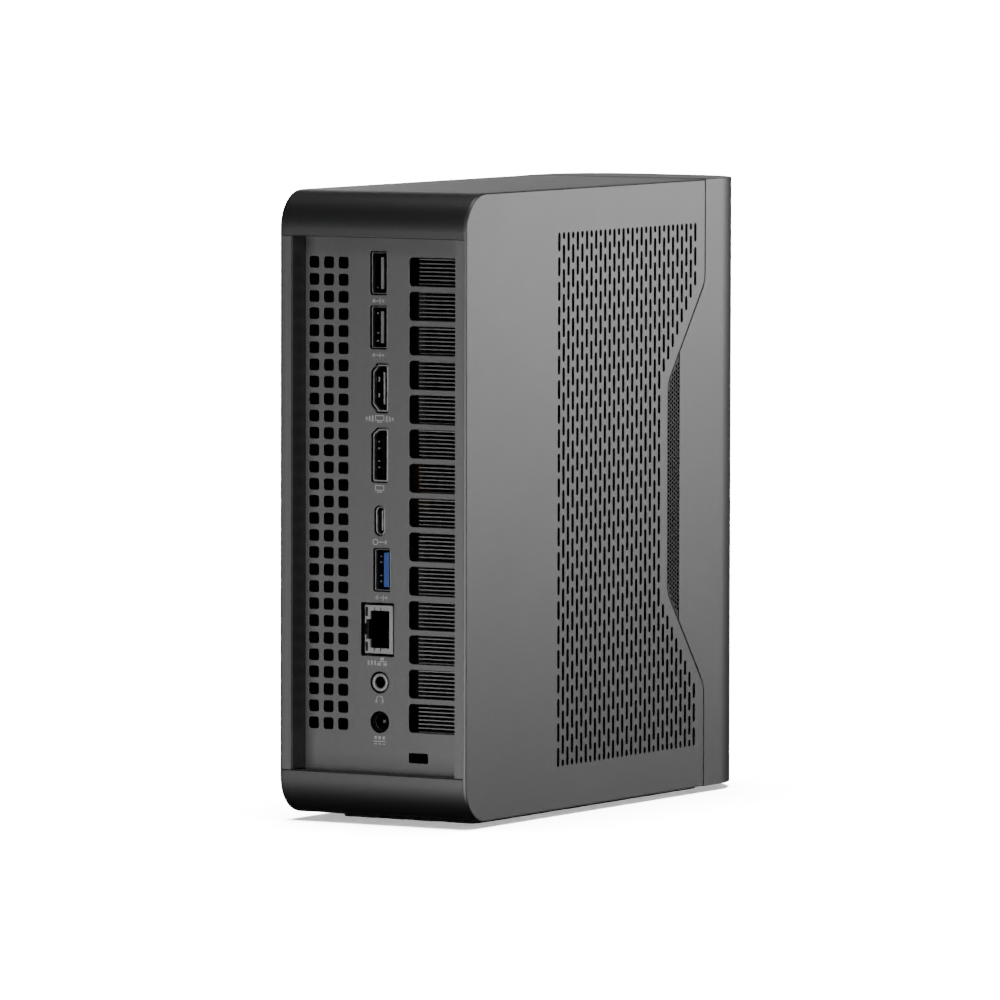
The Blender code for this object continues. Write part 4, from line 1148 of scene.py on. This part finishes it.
CAMERA_AZIMUTH = 30.447  # all angles in degrees
CAMERA_ELEVATION = 3.863
CAMERA_ROLL = 0.116
CAMERA_DISTANCE = 3.4792  # in metres
CAMERA_TARGET = Vector((8.516, 0.0, 97.141)) * MM
CAMERA_LENS = 388.9  # and its sensor's width, in millimetres
CAMERA_SENSOR = 36.0
FLOOR_REACH = 8.0
FLOOR_SUN = 66.0
FLOOR_FILL = 1.75
WORLD_GREY = 0.004
BACKDROP = 20.0  # keeps the background white where the camera sees it


def look_from(azimuth, elevation):
    """The direction from the object to a place, as a unit vector; azimuth turns from the rear to -X."""
    a = math.radians(azimuth)
    e = math.radians(elevation)
    return Vector((-math.sin(a) * math.cos(e), math.cos(a) * math.cos(e), math.sin(e)))


def make_camera():
    """The camera at the photograph's angle, turned a little about its own line of sight."""
    away = look_from(CAMERA_AZIMUTH, CAMERA_ELEVATION)
    right = (-away).cross(Vector((0, 0, 1))).normalized()
    up = right.cross(-away)
    roll = math.radians(CAMERA_ROLL)
    side = right * math.cos(roll) + up * math.sin(roll)
    upright = up * math.cos(roll) - right * math.sin(roll)
    data = bpy.data.cameras.new("camera")
    data.lens = CAMERA_LENS
    data.sensor_width = CAMERA_SENSOR
    data.clip_end = 100.0
    camera = add("camera", data)
    turn = Matrix((side, upright, away)).transposed().to_4x4()
    turn.translation = CAMERA_TARGET + away * CAMERA_DISTANCE
    camera.matrix_world = turn
    bpy.context.scene.camera = camera


def area_light(name, azimuth, elevation, distance, size, power):
    """A soft square light at a place round the computer, turned to it."""
    data = bpy.data.lights.new(name, "AREA")
    data.size = size
    data.energy = power
    light = add(name, data)
    away = look_from(azimuth, elevation)
    light.visible_camera = False
    light.location = LIT_POINT + away * distance
    light.rotation_euler = (-away).to_track_quat("-Z", "Y").to_euler()


def floor_light(name, power, spread, shadows):
    """A light from straight above that reaches nothing but the floor."""
    data = bpy.data.lights.new(name, "SUN")
    data.energy = power
    data.angle = math.radians(spread)
    light = add(name, data)
    receivers = bpy.data.collections.new(name + "_receivers")
    receivers.objects.link(bpy.data.objects["floor"])
    light.light_linking.receiver_collection = receivers
    if not shadows:
        light.light_linking.blocker_collection = receivers


def make_world():
    """A white backdrop for the camera, and dim light from the horizon up for everything else."""
    world = bpy.data.worlds.new("studio")
    bpy.context.scene.world = world
    world.use_nodes = True
    tree = world.node_tree
    tree.nodes.clear()
    space = tree.nodes.new("ShaderNodeTexCoord")
    split = tree.nodes.new("ShaderNodeSeparateXYZ")
    tree.links.new(space.outputs["Generated"], split.inputs["Vector"])
    ramp = tree.nodes.new("ShaderNodeValToRGB")
    bands = ramp.color_ramp.elements
    bands[0].position = 0.46
    bands[0].color = (0.0, 0.0, 0.0, 1)
    bands[1].position = 0.50
    bands[1].color = (WORLD_GREY, WORLD_GREY, WORLD_GREY, 1)
    half = tree.nodes.new("ShaderNodeMath")
    half.operation = "MULTIPLY_ADD"
    half.inputs[1].default_value = 0.5
    half.inputs[2].default_value = 0.5
    tree.links.new(split.outputs["Z"], half.inputs[0])
    tree.links.new(half.outputs["Value"], ramp.inputs["Fac"])
    dim = tree.nodes.new("ShaderNodeBackground")
    dim.inputs["Strength"].default_value = 1.0
    tree.links.new(ramp.outputs["Color"], dim.inputs["Color"])
    white = tree.nodes.new("ShaderNodeBackground")
    white.inputs["Color"].default_value = (1, 1, 1, 1)
    white.inputs["Strength"].default_value = BACKDROP
    path = tree.nodes.new("ShaderNodeLightPath")
    mix = tree.nodes.new("ShaderNodeMixShader")
    tree.links.new(path.outputs["Is Camera Ray"], mix.inputs["Fac"])
    tree.links.new(dim.outputs["Background"], mix.inputs[1])
    tree.links.new(white.outputs["Background"], mix.inputs[2])
    out = tree.nodes.new("ShaderNodeOutputWorld")
    tree.links.new(mix.outputs["Shader"], out.inputs["Surface"])


def make_stage():
    """The pale floor, lit from straight above by a light of its own, and the lights for the computer."""
    mesh = bpy.data.meshes.new("floor")
    corners = [(*corner, 0) for corner in rectangle(0, 0, 2 * FLOOR_REACH, 2 * FLOOR_REACH)]
    mesh.from_pydata(corners, [], [(0, 1, 2, 3)])
    floor = add("floor", mesh)
    material, _, shader = node_material("pale_floor")
    shader.inputs["Base Color"].default_value = (0.9, 0.9, 0.9, 1)
    shader.inputs["Roughness"].default_value = 1.0
    shader.inputs["Specular IOR Level"].default_value = 0.0
    mesh.materials.append(material)
    floor.visible_glossy = False
    floor.visible_diffuse = False
    floor.visible_shadow = False
    floor_light("floor_sun", FLOOR_SUN, 40.0, True)
    floor_light("floor_fill", FLOOR_FILL, 0.0, False)
    for name, light in LIGHTS.items():
        area_light(name, *light)


# ---- all of it

make_camera()
make_world()
make_stage()
finish_cad_nodes()
make_covers()
make_side_panels()
make_side_meshes()
make_front_shell()
make_seam_lip()
make_foot()
make_rear_surround()
make_plate()
make_sockets()
make_network_jack()
make_round_sockets()
make_marks()
make_front_pieces()
